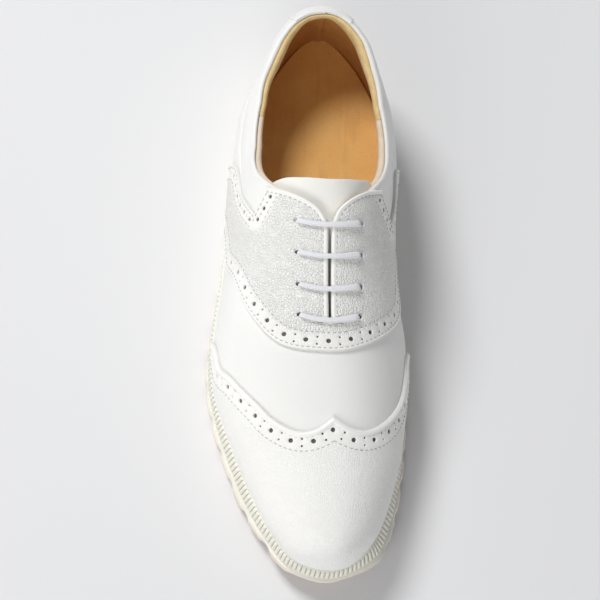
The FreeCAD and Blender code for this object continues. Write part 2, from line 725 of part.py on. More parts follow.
medial_part = half_space(1, QUARTER_SEAM_X, -160.0, 160.0)
add_feature("collar_facing_lateral", single(collar_lining_shape.common(front_part).common(lateral_part)))
add_feature("collar_facing_medial", single(collar_lining_shape.common(front_part).common(medial_part)))

HEEL_LINING_FRONT_Y = 60.0
wall_lining = wall_layer(LINING_OUT, LINING_IN, HEEL_LINING_FRONT_Y - 10.0).cut(collar_zone).cut(above_topline)
heel_part = Part.makeBox(2 * FAR, 200.0, HIGH, V(-FAR, HEEL_LINING_FRONT_Y + GAP, 0))
add_feature("heel_lining", single(wall_lining.common(heel_part)))

shell_lining_front = over_layer(LINING_OUT, LINING_IN)
VAMP_LINING_BACK_Y = -40.0
vamp_lining_zone = Part.makeBox(2 * FAR, 200.0, HIGH, V(-FAR, VAMP_LINING_BACK_Y - 200.0, 0))
add_feature("vamp_lining", single(shell_lining_front.common(vamp_lining_zone)))

# ---------------------------------------------------------------- facing stays, eyelets and lace
EYELETS_LATERAL = [(-8.7, -29.4), (-9.6, -15.8), (-10.6, -1.4), (-11.6, 12.6)]
EYELETS_MEDIAL = [(20.7, -29.4), (20.7, -15.8), (20.5, -1.4), (20.0, 12.6)]


def surface_z(x, y, offset):
    """Height of the last over a plan point."""
    w = station_angle(y)
    low, high = 0.15, math.pi - 0.15
    for _ in range(40):
        middle = (low + high) / 2
        if over_point(w, middle, offset).x > x:
            low = middle
        else:
            high = middle
    return over_point(w, low, offset).z


def surface_normal(x, y):
    """Outward direction of the last over a plan point."""
    slope_x = surface_z(x + 0.5, y, 0.0) - surface_z(x - 0.5, y, 0.0)
    slope_y = surface_z(x, y + 0.5, 0.0) - surface_z(x, y - 0.5, 0.0)
    normal = V(-slope_x, -slope_y, 1.0)
    return normal.normalize()


def hole_tool(x, y, diameter):
    """Cylinder square to the last through a plan point."""
    normal = surface_normal(x, y)
    start = V(x, y, surface_z(x, y, 0.0)) - normal * 9.0
    return Part.makeCylinder(diameter / 2, 14.0, start, normal)


EYELETS = EYELETS_LATERAL + EYELETS_MEDIAL
holes = Part.makeCompound([hole_tool(x, y, dim("eyelet_hole")) for x, y in EYELETS])
flanges = Part.makeCompound([hole_tool(x, y, dim("eyelet_flange") + 0.3) for x, y in EYELETS])
add_feature("lace_saddle", single(saddle_shape.cut(holes)))
add_feature("vamp", single(vamp_shape.cut(holes)))

STAY_FRONT_Y = -36.0
STAY_BACK_Y = 27.0
STAY_MARGIN = 2.6
STAY_WIDTH = 20.0


def stay_zone(side):
    """Upright block over one row of eyelets, beside the slit."""
    inner = THROAT_TOP_X + side * STAY_MARGIN
    low_x = min(inner, inner + side * STAY_WIDTH)
    return Part.makeBox(STAY_WIDTH, STAY_BACK_Y - STAY_FRONT_Y, HIGH, V(low_x, STAY_FRONT_Y, 0))


for name, side in (("facing_stay_lateral", -1), ("facing_stay_medial", 1)):
    strip = shell_stiff_front.common(stay_zone(side)).cut(throat).cut(flanges)
    add_feature(name, single(strip))


def blind_eyelet(x, y):
    """Flat ring behind one lace hole, square to the last."""
    normal = surface_normal(x, y)
    middle = (STIFF_OUT + STIFF_IN) / 2
    base = V(x, y, surface_z(x, y, 0.0)) + normal * (middle - dim("eyelet_thickness") / 2)
    disc = Part.makeCylinder(dim("eyelet_flange") / 2, dim("eyelet_thickness"), base, normal)
    return disc.cut(hole_tool(x, y, dim("eyelet_hole")))


add_feature("blind_eyelets", Part.makeCompound([single(blind_eyelet(x, y)) for x, y in EYELETS]))

FRONT_LINING_START = VAMP_LINING_BACK_Y + GAP
side_lining = shell_lining_front.cut(above_topline).cut(throat)
collar_box = Part.makeBox(2 * FAR, 200.0, HIGH, V(-FAR, COLLAR_FRONT_Y - GAP, 0))
side_lining = side_lining.cut(collar_zone.common(collar_box)).cut(flanges)
lining_run = Part.makeBox(2 * FAR, HEEL_LINING_FRONT_Y - FRONT_LINING_START, HIGH, V(-FAR, FRONT_LINING_START, 0))
side_lining = side_lining.common(lining_run)
SPLIT_X = SLIT_END_X
add_feature("lining_lateral", single(side_lining.common(half_space(-1, SPLIT_X - GAP / 2, -160.0, 160.0))))
add_feature("lining_medial", single(side_lining.common(half_space(1, SPLIT_X + GAP / 2, -160.0, 160.0))))

# ---------------------------------------------------------------- tongue: leather, foam and lining
TONGUE_BASE_Y = -38.0
TONGUE_TOP_Y = 37.5
TONGUE_PLAN = [
    [(-12.0, TONGUE_BASE_Y), (-14.5, -10.0), (-18.0, 12.0), (-22.5, 31.0)],
    [(-22.5, 31.0), (-20.0, 35.0), (-10.0, 37.0), (8.0, TONGUE_TOP_Y), (22.0, 36.5), (26.5, 31.0)],
    [(26.5, 31.0), (26.5, 15.0), (27.0, -10.0), (26.0, TONGUE_BASE_Y)],
    [(26.0, TONGUE_BASE_Y), (-12.0, TONGUE_BASE_Y)],
]
tongue_zone = plan_tool(TONGUE_PLAN, [])
TONGUE_OUT = -dim("tongue_drop")
TONGUE_FOAM = TONGUE_OUT - LINING - GAP
TONGUE_LINING = TONGUE_FOAM - dim("tongue_padding") - GAP
add_feature("tongue", single(over_layer(TONGUE_OUT, TONGUE_OUT - LINING).common(tongue_zone)))
add_feature("tongue_foam", single(over_layer(TONGUE_FOAM, TONGUE_FOAM - dim("tongue_padding")).common(tongue_zone)))
add_feature("tongue_lining", single(over_layer(TONGUE_LINING, TONGUE_LINING - LINING).common(tongue_zone)))

# ---------------------------------------------------------------- lace: four straight bars, ends tucked inside
OUTSIDE = 3.0
INSIDE_RUN = -4.95
HOLE_BEND = 2.2
BAR_SAG = 2.4
BAR_REACH = 8.0


def lace_point(x, y, offset):
    """A point of the lace's centre line over or under the saddle."""
    return V(x, y, surface_z(x, y, 0.0)) + surface_normal(x, y) * offset


def bar_points(start, end):
    """One bar across the slit, hanging a little towards the toe."""
    direction = 1 if end[0] > start[0] else -1
    first = (start[0] + direction * BAR_REACH, start[1] - BAR_SAG * 0.7)
    last = (end[0] - direction * BAR_REACH, end[1] - BAR_SAG * 0.7)
    centre = ((start[0] + end[0]) / 2, (start[1] + end[1]) / 2 - BAR_SAG)
    route = [(lace_point(*start, INSIDE_RUN), HOLE_BEND), (lace_point(*start, OUTSIDE), HOLE_BEND)]
    route += [(lace_point(*spot, OUTSIDE), None) for spot in (first, centre, last)]
    return route + [(lace_point(*end, OUTSIDE), HOLE_BEND), (lace_point(*end, INSIDE_RUN), HOLE_BEND)]


TOP_TAIL = [(-21.8, -3.0, -6.1), (-18.5, 7.0, -5.2)]
TOP_TIP_END = (-23.0, -16.5, -6.6)
LOW_TAIL = [(-12.5, -39.0, -5.4), (-15.5, -49.0, -6.1)]
LOW_TIP_END = (-18.5, -62.0, -6.4)
route = [(lace_point(*spot), None) for spot in TOP_TAIL]
rows = list(zip(EYELETS_LATERAL, EYELETS_MEDIAL))[::-1]
for index, (lateral, medial) in enumerate(rows):
    route += bar_points(lateral, medial) if index % 2 == 0 else bar_points(medial, lateral)
route += [(lace_point(*spot), None) for spot in LOW_TAIL]


def rounded_path(route):
    """Straight runs joined by tangent arcs: each arc takes its given radius or the largest its runs allow."""
    points = [point for point, _ in route]
    edges = []
    start = points[0]
    for k in range(1, len(points) - 1):
        back = points[k - 1] - points[k]
        ahead = points[k + 1] - points[k]
        half_turn = (math.pi - back.getAngle(ahead)) / 2
        radius = 0.45 * min(back.Length, ahead.Length) / math.tan(half_turn)
        if route[k][1]:
            radius = min(radius, route[k][1])
        reach = radius * math.tan(half_turn)
        back.normalize()
        ahead.normalize()
        enter = points[k] + back * reach
        leave = points[k] + ahead * reach
        inward = (back + ahead).normalize()
        centre = points[k] + inward * (radius / math.cos(half_turn))
        edges.append(Part.LineSegment(start, enter).toShape())
        edges.append(Part.Arc(enter, centre - inward * radius, leave).toShape())
        start = leave
    edges.append(Part.LineSegment(start, points[-1]).toShape())
    return Part.Wire(edges)


def tube(path, diameter):
    """Round tube along a path."""
    first = path.Edges[0]
    along = first.tangentAt(first.FirstParameter)
    ring = Part.Wire(Part.makeCircle(diameter / 2, first.valueAt(first.FirstParameter), along))
    return path.makePipeShell([ring], True, False)


lace_path = rounded_path(route)
LACE = dim("lace_diameter")
lace = tube(lace_path, LACE)
section = math.pi * LACE ** 2 / 4
print("lace length", round(lace_path.Length, 1), "volume share", round(lace.Volume / (section * lace_path.Length), 4))
add_feature("lace", single(lace))


TIP_GAP = 0.6


def lace_tip(end, towards):
    """Sleeve at one end of the lace."""
    along = (towards - end).normalize()
    return Part.makeCylinder(dim("tip_diameter") / 2, dim("tip_length"), end + along * TIP_GAP, along)


tips = [lace_tip(route[0][0], lace_point(*TOP_TIP_END)), lace_tip(route[-1][0], lace_point(*LOW_TIP_END))]
add_feature("lace_tips", Part.makeCompound(tips))

# ---------------------------------------------------------------- checks and files
doc.recompute()
for item in doc.Objects:
    assert not {"Invalid", "Error"} & set(item.State), item.Name
os.makedirs("parts", exist_ok=True)
for name, item in sub_parts.items():
    shape = item.Shape
    assert not shape.isNull() and shape.isValid(), name
    assert item.Label == name, name
    shape.exportStep(f"parts/{name}.step")
    box = shape.BoundBox
    print(f"{name:24s} {len(shape.Solids)} solid, {shape.Volume / 1000:8.2f} cm3, "
          f"z {box.ZMin:6.1f} to {box.ZMax:6.1f}, y {box.YMin:7.1f} to {box.YMax:6.1f}")
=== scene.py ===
import math

import bpy
import numpy as np
from mathutils import Matrix, Vector, geometry, kdtree


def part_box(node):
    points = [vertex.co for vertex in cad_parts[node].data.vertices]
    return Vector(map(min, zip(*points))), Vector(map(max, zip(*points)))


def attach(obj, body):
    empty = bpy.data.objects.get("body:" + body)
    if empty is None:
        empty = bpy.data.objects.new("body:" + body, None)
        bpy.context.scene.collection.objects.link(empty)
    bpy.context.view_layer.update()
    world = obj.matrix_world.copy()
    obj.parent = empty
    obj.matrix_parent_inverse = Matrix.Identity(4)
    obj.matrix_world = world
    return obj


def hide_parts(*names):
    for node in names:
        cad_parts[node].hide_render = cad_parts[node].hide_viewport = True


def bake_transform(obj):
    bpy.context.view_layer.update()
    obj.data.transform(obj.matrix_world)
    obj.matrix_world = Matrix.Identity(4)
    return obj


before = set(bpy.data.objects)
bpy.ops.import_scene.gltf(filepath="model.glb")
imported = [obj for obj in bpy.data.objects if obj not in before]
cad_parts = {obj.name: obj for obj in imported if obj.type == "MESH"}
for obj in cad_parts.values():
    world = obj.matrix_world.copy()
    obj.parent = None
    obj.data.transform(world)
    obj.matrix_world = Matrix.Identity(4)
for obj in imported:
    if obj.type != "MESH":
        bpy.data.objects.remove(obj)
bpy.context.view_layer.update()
scene = bpy.context.scene
MM = 0.001

# ---------------------------------------------------------------- lines and points
def ease(share):
    """Soft start and stop between 0 and 1."""
    share = np.clip(share, 0, 1)
    return share * share * (3 - 2 * share)


def run_length(line):
    """Length along a line at each of its points."""
    return np.concatenate([[0], np.cumsum(np.linalg.norm(np.diff(line, axis=0), axis=1))])


def at_length(at, length, line):
    """Points of a line at some lengths along it."""
    return np.stack([np.interp(at, length, line[:, k]) for k in range(line.shape[1])], -1)


def resample(line, step):
    """Points about one step apart along a line, both ends kept."""
    length = run_length(line)
    count = max(1, int(round(length[-1] / step)))
    return at_length(np.linspace(0, length[-1], count + 1), length, line)


def catmull_rom(points, density):
    """Smooth line through all points but the first and the last."""
    t = np.linspace(0, 1, density, endpoint=False)[:, None]
    return np.vstack([0.5 * (2 * b + (c - a) * t + (2 * a - 5 * b + 4 * c - d) * t ** 2
                             + (3 * b - a - 3 * c + d) * t ** 3)
                      for a, b, c, d in zip(points, points[1:], points[2:], points[3:])])


def curve(points, density=10):
    """Smooth open line through points."""
    points = np.asarray(points, float)
    ends = np.vstack([2 * points[0] - points[1], points, 2 * points[-1] - points[-2]])
    return np.vstack([catmull_rom(ends, density), points[-1:]])


def closed_curve(points, density=24):
    """Smooth closed line through points, its first point repeated at the end."""
    loop = catmull_rom(np.vstack([points[-1:], points, points[:2]]), density)
    return np.vstack([loop, loop[:1]])


def unit(vectors):
    """The same directions at length 1."""
    return vectors / np.maximum(np.linalg.norm(vectors, axis=1), 1e-9)[:, None]


def in_space(points):
    """Flat points are taken at height 0."""
    return np.pad(points, ((0, 0), (0, 3 - points.shape[1])))


def tree_of(points):
    tree = kdtree.KDTree(len(points))
    for index, point in enumerate(in_space(points)):
        tree.insert(point, index)
    tree.balance()
    return tree


def distances(tree, points):
    return np.array([tree.find(point)[2] for point in in_space(points)])


def inside(points, loop):
    x, y = points[:, 0:1], points[:, 1:2]
    x0, y0 = loop[:, 0], loop[:, 1]
    x1, y1 = np.roll(x0, -1), np.roll(y0, -1)
    crosses = (y0 > y) != (y1 > y)
    at = (x1 - x0) * (y - y0) / np.where(y1 == y0, 1e-12, y1 - y0) + x0
    return (crosses & (x < at)).sum(1) % 2 == 1


# ---------------------------------------------------------------- the last, in millimetres
# y, lateral x, medial x, crown x, crown z, feather z, squareness of the section
STATIONS = np.array([
    (-145.5, 10.5, 10.5, 10.5, 26.5, 26.5, 2.0),
    (-141.0, -7.4, 24.0, 11.0, 42.0, 25.5, 2.1),
    (-130.0, -17.0, 33.0, 11.0, 48.0, 23.5, 2.2),
    (-112.0, -26.6, 40.2, 10.5, 52.0, 21.5, 2.2),
    (-85.0, -38.2, 47.0, 9.5, 57.0, 19.8, 2.2),
    (-55.0, -47.6, 49.8, 8.5, 66.0, 19.2, 2.1),
    (-28.0, -49.0, 49.5, 6.5, 78.0, 19.8, 2.0),
    (5.0, -44.5, 44.0, 5.0, 94.0, 21.8, 1.95),
    (34.0, -42.5, 42.5, 4.5, 110.0, 24.2, 2.15),
    (65.0, -40.5, 43.5, 3.5, 140.0, 26.7, 2.6),
    (95.0, -35.3, 40.0, 3.0, 145.0, 28.0, 2.7),
    (118.0, -22.4, 30.4, 3.5, 146.0, 28.4, 2.6),
    (133.0, -11.8, 20.0, 4.0, 146.0, 28.5, 2.4),
    (142.5, 4.0, 4.0, 4.0, 146.0, 28.5, 2.3),
])
TOE_Y, HEEL_Y = STATIONS[0, 0], STATIONS[-1, 0]
HALF_SPAN = (HEEL_Y - TOE_Y) / 2


def angle_at(y):
    """Cosine spacing along the shoe: 0 at the toe, pi at the heel."""
    return np.arccos(np.clip(1 - (np.asarray(y, float) - TOE_Y) / HALF_SPAN, -1, 1))


ANGLES = angle_at(STATIONS[:, 0])
STEP = np.diff(ANGLES)[:, None]
RISE = np.diff(STATIONS[:, 1:], axis=0) / STEP
INNER = (RISE[:-1] * STEP[1:] + RISE[1:] * STEP[:-1]) / (STEP[:-1] + STEP[1:])
SLOPES = np.vstack([2 * RISE[0] - INNER[0], INNER, 2 * RISE[-1] - INNER[-1]])


def station(w):
    """Smooth curves through the stations: lateral, medial, crown x, crown z, feather, squareness."""
    w = np.asarray(w, float)
    k = np.clip(np.searchsorted(ANGLES, w) - 1, 0, len(STEP) - 1)
    step = STEP[k, 0]
    u = (w - ANGLES[k]) / step
    u, step = u[..., None], step[..., None]
    start = (1 + 2 * u) * (1 - u) ** 2 * STATIONS[k, 1:] + u * (1 - u) ** 2 * step * SLOPES[k]
    end = u * u * (3 - 2 * u) * STATIONS[k + 1, 1:] + u * u * (u - 1) * step * SLOPES[k + 1]
    return np.moveaxis(start + end, -1, 0)


# how far the walls lean in at the opening's edge, along the shoe
LEAN_Y = [20.0, 45.0, 60.0, 85.0, 105.0, 120.0, 132.0, 142.0]
LEAN_LATERAL = [0.0, 4.0, 7.0, 7.2, 3.6, -0.8, -3.2, -3.2]
LEAN_MEDIAL = [0.0, 3.0, 5.4, 7.2, 5.2, 2.0, 0.6, 0.0]
WAIST_Z = 48  # above this height the walls lean in
FOREFOOT_Y, FOREFOOT_DRAW = -45, 1.3
TOE_CAP_Y, TOE_DRAW = -112, 1.9


def crown_share(w):
    """How much of an offset the crown takes: all of it but at the ends of the shoe."""
    return np.sin(w) / np.sqrt(np.sin(w) ** 2 + 0.02)


def last_point(w, side, rise, offset):
    """A point of the last: side runs 1 medial to -1 lateral, rise 0 feather to 1 crown."""
    lateral, medial, crown_x, crown_z, feather, _ = station(w)
    before, after = np.maximum(0, w - 0.01), np.minimum(math.pi, w + 0.01)
    narrow, wide = station(before), station(after)
    widening = ((wide[1] - wide[0]) - (narrow[1] - narrow[0])) / 2 / (after - before)
    advance = HALF_SPAN * np.sin(w)
    size = np.hypot(widening, advance)
    middle, half = (lateral + medial) / 2, (medial - lateral) / 2 + offset * advance / size
    height = crown_z + offset * crown_share(w) - feather
    x = middle + half * side + (crown_x - middle) * rise ** 2 * (1 - np.abs(side))
    z = feather + height * rise
    low = np.maximum(0, 1 - (z - feather) / 12.0)
    x = middle + (x - middle) * (1 - 0.04 * low * low)
    y = (TOE_Y + HEEL_Y) / 2 - HALF_SPAN * np.cos(w) - offset * widening / size
    part = (x - middle) / np.maximum(half, 6)
    pull = np.where(part < 0, np.interp(y, LEAN_Y, LEAN_LATERAL), np.interp(y, LEAN_Y, LEAN_MEDIAL))
    x = x - part * pull * ease((z - WAIST_Z) / 30) - part * FOREFOOT_DRAW * ease((FOREFOOT_Y - y) / 30)
    y = y + TOE_DRAW * ease((TOE_CAP_Y - y) / 30)
    back = np.maximum(0, (y - 50) / (HEEL_Y - 50)) ** 2
    lean = np.where(z > WAIST_Z, -15 * ((z - WAIST_Z) / 44) ** 2, -3 * ((WAIST_Z - z) / 20) ** 2)
    return np.stack([x, y + back * np.maximum(-16, lean), z], -1)


def over(turn, w, offset):
    """A point of a section over the crown: turn 0 medial feather to pi lateral feather."""
    square = station(w)[5]
    across, up = np.cos(turn), np.abs(np.sin(turn))
    reach = (np.abs(across) ** square + up ** square) ** (-1 / square)
    return last_point(w, across * reach, up * reach, offset)


def wall(w, side, z, offset):
    """A point of the side wall at one height."""
    _, _, _, crown_z, feather, square = station(w)
    rise = np.clip((z - feather) / (crown_z + offset * crown_share(w) - feather), 0, 0.999)
    return last_point(w, side * (1 - rise ** square) ** (1 / square), rise, offset)


# ---------------------------------------------------------------- flat patterns of the leather
FRONT_W = np.linspace(0, angle_at(98.0), 500)
CROWN = over(np.full(500, math.pi / 2), FRONT_W, 0.0)
FRONT_S = run_length(CROWN)
_turns = np.linspace(0, math.pi, 60)
_rings = np.stack([over(np.full(500, t), FRONT_W, 0.0) for t in _turns])
FRONT_H = np.linalg.norm(np.diff(_rings, axis=0), axis=2).sum(0) / math.pi
FRONT_H = np.maximum(FRONT_H, 1e-3)


def front(flat, offset):
    """Pattern point (girth from the crown line, length from the toe) to the shoe."""
    w = np.interp(flat[..., 1], FRONT_S, FRONT_W)
    turn = math.pi / 2 - flat[..., 0] / np.interp(w, FRONT_W, FRONT_H)
    return over(np.clip(turn, 0, math.pi), w, offset)


def front_flat(turn, w):
    """Pattern point of a turn and section."""
    turn, w = np.broadcast_arrays(np.asarray(turn, float), np.asarray(w, float))
    across = (math.pi / 2 - turn) * np.interp(w, FRONT_W, FRONT_H)
    return np.stack([across, np.interp(w, FRONT_W, FRONT_S)], -1)


REAR_W = np.linspace(math.pi, angle_at(-20.0), 500)
REAR_A = run_length(wall(REAR_W, 1.0, 60.0, 0.0))


def rear(flat, offset):
    """Pattern point (way round from the back seam, medial positive; height) to the shoe."""
    w = np.interp(np.abs(flat[..., 0]), REAR_A, REAR_W)
    return wall(w, np.where(flat[..., 0] < 0, -1.0, 1.0), flat[..., 1], offset)


def round_way(y):
    """Way round from the back seam to a station's y."""
    return float(np.interp(-angle_at(y), -REAR_W, REAR_A))


_tt, _ww = np.meshgrid(np.linspace(0.16, math.pi - 0.16, 160), FRONT_W[4::4], indexing="ij")
_plan = over(_tt.ravel(), _ww.ravel(), 0.0)
_plan_tree = tree_of(_plan[:, :2])


def from_plan(x, y):
    """Pattern point of the front below a point seen from above."""
    index = _plan_tree.find((x, y, 0))[1]
    turn, w = _tt.ravel()[index], _ww.ravel()[index]
    for _ in range(4):
        here = over(np.array([turn, turn + 1e-3, turn]), np.array([w, w, w + 1e-3]), 0.0)[:, :2]
        slope = np.stack([here[1] - here[0], here[2] - here[0]], 1) / 1e-3
        try:
            move = np.linalg.solve(slope, np.array([x, y]) - here[0])
            turn, w = np.array([turn, w]) + np.clip(move, -0.05, 0.05)
        except np.linalg.LinAlgError:
            break
        turn = min(max(turn, 0.1), math.pi - 0.1)
    return front_flat(turn, w)


def plan_points(*points):
    """Pattern points of the front below points seen from above."""
    return [from_plan(*point) for point in points]


def from_feather(side, y):
    """Pattern point where the leather meets the sole."""
    return front_flat(0.0 if side > 0 else math.pi, angle_at(y))


def from_wall(side, y, z):
    """Pattern point on a side at one height."""
    turns = np.linspace(0, math.pi / 2, 240)
    turns = turns if side > 0 else math.pi - turns
    heights = over(turns, np.full(240, angle_at(y)), 0.0)[:, 2]
    return front_flat(np.interp(z, heights, turns), angle_at(y))


def metric(flat, surface=front):
    """Partial derivatives of the surface at pattern points."""
    h = 0.05
    ex = (surface(flat + [h, 0], 0.0) - surface(flat - [h, 0], 0.0)) / (2 * h)
    ey = (surface(flat + [0, h], 0.0) - surface(flat - [0, h], 0.0)) / (2 * h)
    return ex, ey


def left_of(line, closed=False):
    """Pattern steps that are 1 mm to the left of a line on the shoe."""
    if closed:
        tangent = np.roll(line, -1, 0) - np.roll(line, 1, 0)
    else:
        tangent = np.gradient(line, axis=0)
    ex, ey = metric(line)
    e, f, g = (ex * ex).sum(1), (ex * ey).sum(1), (ey * ey).sum(1)
    side = np.stack([-(f * tangent[:, 0] + g * tangent[:, 1]), e * tangent[:, 0] + f * tangent[:, 1]], 1)
    square = e * side[:, 0] ** 2 + 2 * f * side[:, 0] * side[:, 1] + g * side[:, 1] ** 2
    return side / np.sqrt(np.maximum(square, 1e-9))[:, None]


def parallel(line, distance):
    """The line a distance to the left, without the parts that come nearer to the line's other parts."""
    line = resample(line, 0.8)
    moved = line + left_of(line) * distance
    tree = tree_of(front(resample(line, 0.3), 0.0))
    far = distances(tree, front(moved, 0.0))
    return moved[far > 0.96 * abs(distance)]


def circle(centre, radius, count):
    """Pattern points of a true circle on the shoe."""
    ex, ey = metric(centre[None])
    e, f, g = (ex * ex).sum(), (ex * ey).sum(), (ey * ey).sum()
    first = np.array([1 / math.sqrt(e), 0])
    second = np.array([-f / e, 1]) / math.sqrt(g - f * f / e)
    turn = np.arange(count) * 2 * math.pi / count
    return centre + radius * (np.cos(turn)[:, None] * first + np.sin(turn)[:, None] * second)


# ---------------------------------------------------------------- making pieces
def finish_mesh(name, vertices, faces, material, replaces, sharp, attributes=None, body="root"):
    """Mesh object in metres on a body; edges sharper than an angle in degrees stay sharp."""
    mesh = bpy.data.meshes.new(name)
    mesh.from_pydata((np.asarray(vertices) * MM).tolist(), [], faces)
    mesh.update()
    mesh.shade_smooth()
    mesh.set_sharp_from_angle(angle=math.radians(sharp))
    for key, values in (attributes or {}).items():
        layer = mesh.attributes.new(key, "FLOAT", "POINT")
        layer.data.foreach_set("value", np.asarray(values, np.float32))
    piece = bpy.data.objects.new(name, mesh)
    scene.collection.objects.link(piece)
    mesh.materials.append(material)
    if body:
        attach(piece, body)
    if replaces:
        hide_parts(*replaces)
    return piece


def grid_faces(rows, columns, start=0, flip=False):
    faces = []
    for r in range(rows - 1):
        for c in range(columns - 1):
            a = start + r * columns + c
            quad = (a, a + 1, a + columns + 1, a + columns)
            faces.append(quad[::-1] if flip else quad)
    return faces


def band_faces(rows, columns, start=0, flip=False):
    """Quads between rows of points that each go once round."""
    faces = []
    for r in range(rows - 1):
        for c in range(columns):
            a, b = start + r * columns + c, start + r * columns + (c + 1) % columns
            faces.append((b, a, a + columns, b + columns) if flip else (a, b, b + columns, a + columns))
    return faces


def shell(name, outer, inner, material, replaces=(), flip=False, attributes=None):
    """Closed skin between two grids of points with the same rows and columns."""
    rows, columns = outer.shape[:2]
    count = rows * columns
    faces = grid_faces(rows, columns, 0, flip) + grid_faces(rows, columns, count, not flip)
    rim = [(0, c) for c in range(columns)] + [(r, columns - 1) for r in range(1, rows)]
    rim += [(rows - 1, c) for c in range(columns - 2, -1, -1)] + [(r, 0) for r in range(rows - 2, 0, -1)]
    loop = [r * columns + c for r, c in rim]
    for a, b in zip(loop, loop[1:] + loop[:1]):
        quad = (b, a, a + count, b + count)
        faces.append(quad[::-1] if flip else quad)
    vertices = np.vstack([outer.reshape(-1, 3), inner.reshape(-1, 3)])
    if attributes:
        attributes = {k: np.concatenate([np.ravel(v), np.ravel(v)]) for k, v in attributes.items()}
    return finish_mesh(name, vertices, faces, material, replaces, 50, attributes)


def rim_drop(distance, radius):
    """How far a rounded edge falls below the flat, by distance from the edge."""
    t = np.clip(1 - distance / radius, 0, 1)
    return radius * (1 - np.sqrt(1 - 0.92 * t * t))


def hole_sides(radius):
    """How many corners a punched hole has."""
    return 16 if radius > 0.8 else 10


def hex_points(outline, spacing):
    """Evenly spread points inside an outline, every other row shifted by half a step."""
    low, high = outline.min(0), outline.max(0)
    rows = np.arange(low[1], high[1], spacing * 0.866)
    gx, gy = np.meshgrid(np.arange(low[0], high[0], spacing), rows)
    gx = gx + (np.arange(len(rows)) % 2 * spacing / 2)[:, None]
    points = np.stack([gx.ravel(), gy.ravel()], 1)
    return points[inside(points, outline)]


def filled(points, edges, outline, rings):
    """Triangles over flat points inside an outline and outside its holes' rings: points used, triangles."""
    made = geometry.delaunay_2d_cdt([Vector(p) for p in points.tolist()], edges, [], 0, 1e-6)
    flat = np.array([tuple(p) for p in made[0]])
    triangles = np.array([f for f in made[2] if len(f) == 3])
    middle = flat[triangles].mean(1)
    keep = inside(middle, outline)
    for centre, radius, ring in rings:
        close = np.linalg.norm(middle - centre, axis=1) < radius * 3 + 1
        keep[close] &= ~inside(middle[close], ring)
    triangles = triangles[keep]
    used = np.unique(triangles)
    renumber = np.full(len(flat), -1)
    renumber[used] = np.arange(len(used))
    return flat[used], renumber[triangles]


def pattern_piece(name, sides, holes, top, bottom, material, rings, replaces, spacing=1.9,
                  body="root", grain=None):
    """A cut piece of leather on the shoe: sides are labelled lines round it, counter-clockwise."""
    lines = {label: resample(np.asarray(line), 0.8) for label, line in sides.items()}
    rims = {label: front(resample(line, 0.12), 0.0) for label, line in lines.items()}
    outline = np.vstack([line[:-1] for line in lines.values()])
    steps = left_of(outline, closed=True)
    rim_tree = tree_of(np.vstack(list(rims.values())))
    punched = [(centre, radius, circle(centre, radius, hole_sides(radius)))
               for centre, radius in holes]
    edges, used = [], 0
    for ring in [outline] + [hole[2] for hole in punched]:
        edges += [(used + k, used + (k + 1) % len(ring)) for k in range(len(ring))]
        used += len(ring)
    loose = []
    for distance in rings:
        ring = outline + steps * distance
        far = distances(rim_tree, front(ring, 0.0))
        loose.append(ring[inside(ring, outline) & (far > 0.8 * distance)])
    for centre, radius in holes:
        for away in (0.14, 0.34) if radius > 0.8 else (0.14,):
            loose.append(circle(centre, radius + away, hole_sides(radius)))
    fixed = np.vstack([outline] + [hole[2] for hole in punched] + [part for part in loose if len(part)])
    hexes = hex_points(outline, spacing)
    hexes = hexes[distances(tree_of(fixed), hexes) > spacing * 0.62]
    for centre, radius in holes:
        hexes = hexes[np.linalg.norm(hexes - centre, axis=1) > radius * 0.7]
    flat, triangles = filled(np.vstack([fixed, hexes]), edges, outline, punched)
    base = front(flat, 0.0)
    away = {label: distances(tree_of(rim), base) for label, rim in rims.items()}
    away["edge"] = np.min([away[label] for label in lines], axis=0)
    away["hole"] = np.full(len(flat), 99.0)
    for centre, radius in holes:
        close = np.linalg.norm(flat - centre, axis=1) < radius * 3 + 2
        gap = np.linalg.norm(base[close] - front(centre[None], 0.0)[0], axis=1) - radius
        away["hole"][close] = np.minimum(away["hole"][close], gap)
    away["hole"] = np.maximum(away["hole"], 0)
    count = len(flat)
    upper, lower = (front(flat, level(away, base) if callable(level) else np.full(count, level))
                    for level in (top, bottom))
    faces = [tuple(t) for t in triangles.tolist()] + [tuple(t[::-1]) for t in (triangles + count).tolist()]
    pairs = {edge: True for a, b, c in triangles.tolist() for edge in ((a, b), (b, c), (c, a))}
    faces += [(b, a, a + count, b + count) for a, b in pairs if (b, a) not in pairs]
    shade = grain(away) if grain else np.ones(count)
    attributes = {"edge": np.tile(away["edge"], 2), "grain": np.tile(shade, 2)}
    return finish_mesh(name, np.vstack([upper, lower]), faces, material, replaces, 45, attributes,
                       body)


def beads(name, centres, along, up, size, material, slot):
    """Small rounded bars, one at each centre: size is length, width, height."""
    vertices, faces = [], []
    sections = [(-0.5, 0.55), (-0.34, 0.9), (0.0, 1.0), (0.34, 0.9), (0.5, 0.55)]
    sides = 6
    for centre, ahead, normal in zip(centres, along, up):
        across = np.cross(ahead, normal)
        start = len(vertices)
        for at, share in sections:
            for k in range(sides):
                turn = 2 * math.pi * k / sides
                drop = -0.25 * size[2] * (abs(at) > 0.4)
                vertices.append(centre + ahead * at * size[0] + across * math.cos(turn) * share * size[1] / 2
                                + normal * (math.sin(turn) * share * size[2] / 2 + drop))
        faces += band_faces(len(sections), sides, start)
        faces.append(tuple(range(start, start + sides))[::-1])
        faces.append(tuple(range(len(vertices) - sides, len(vertices))))
    return finish_mesh(name, vertices, faces, material, (), 60)


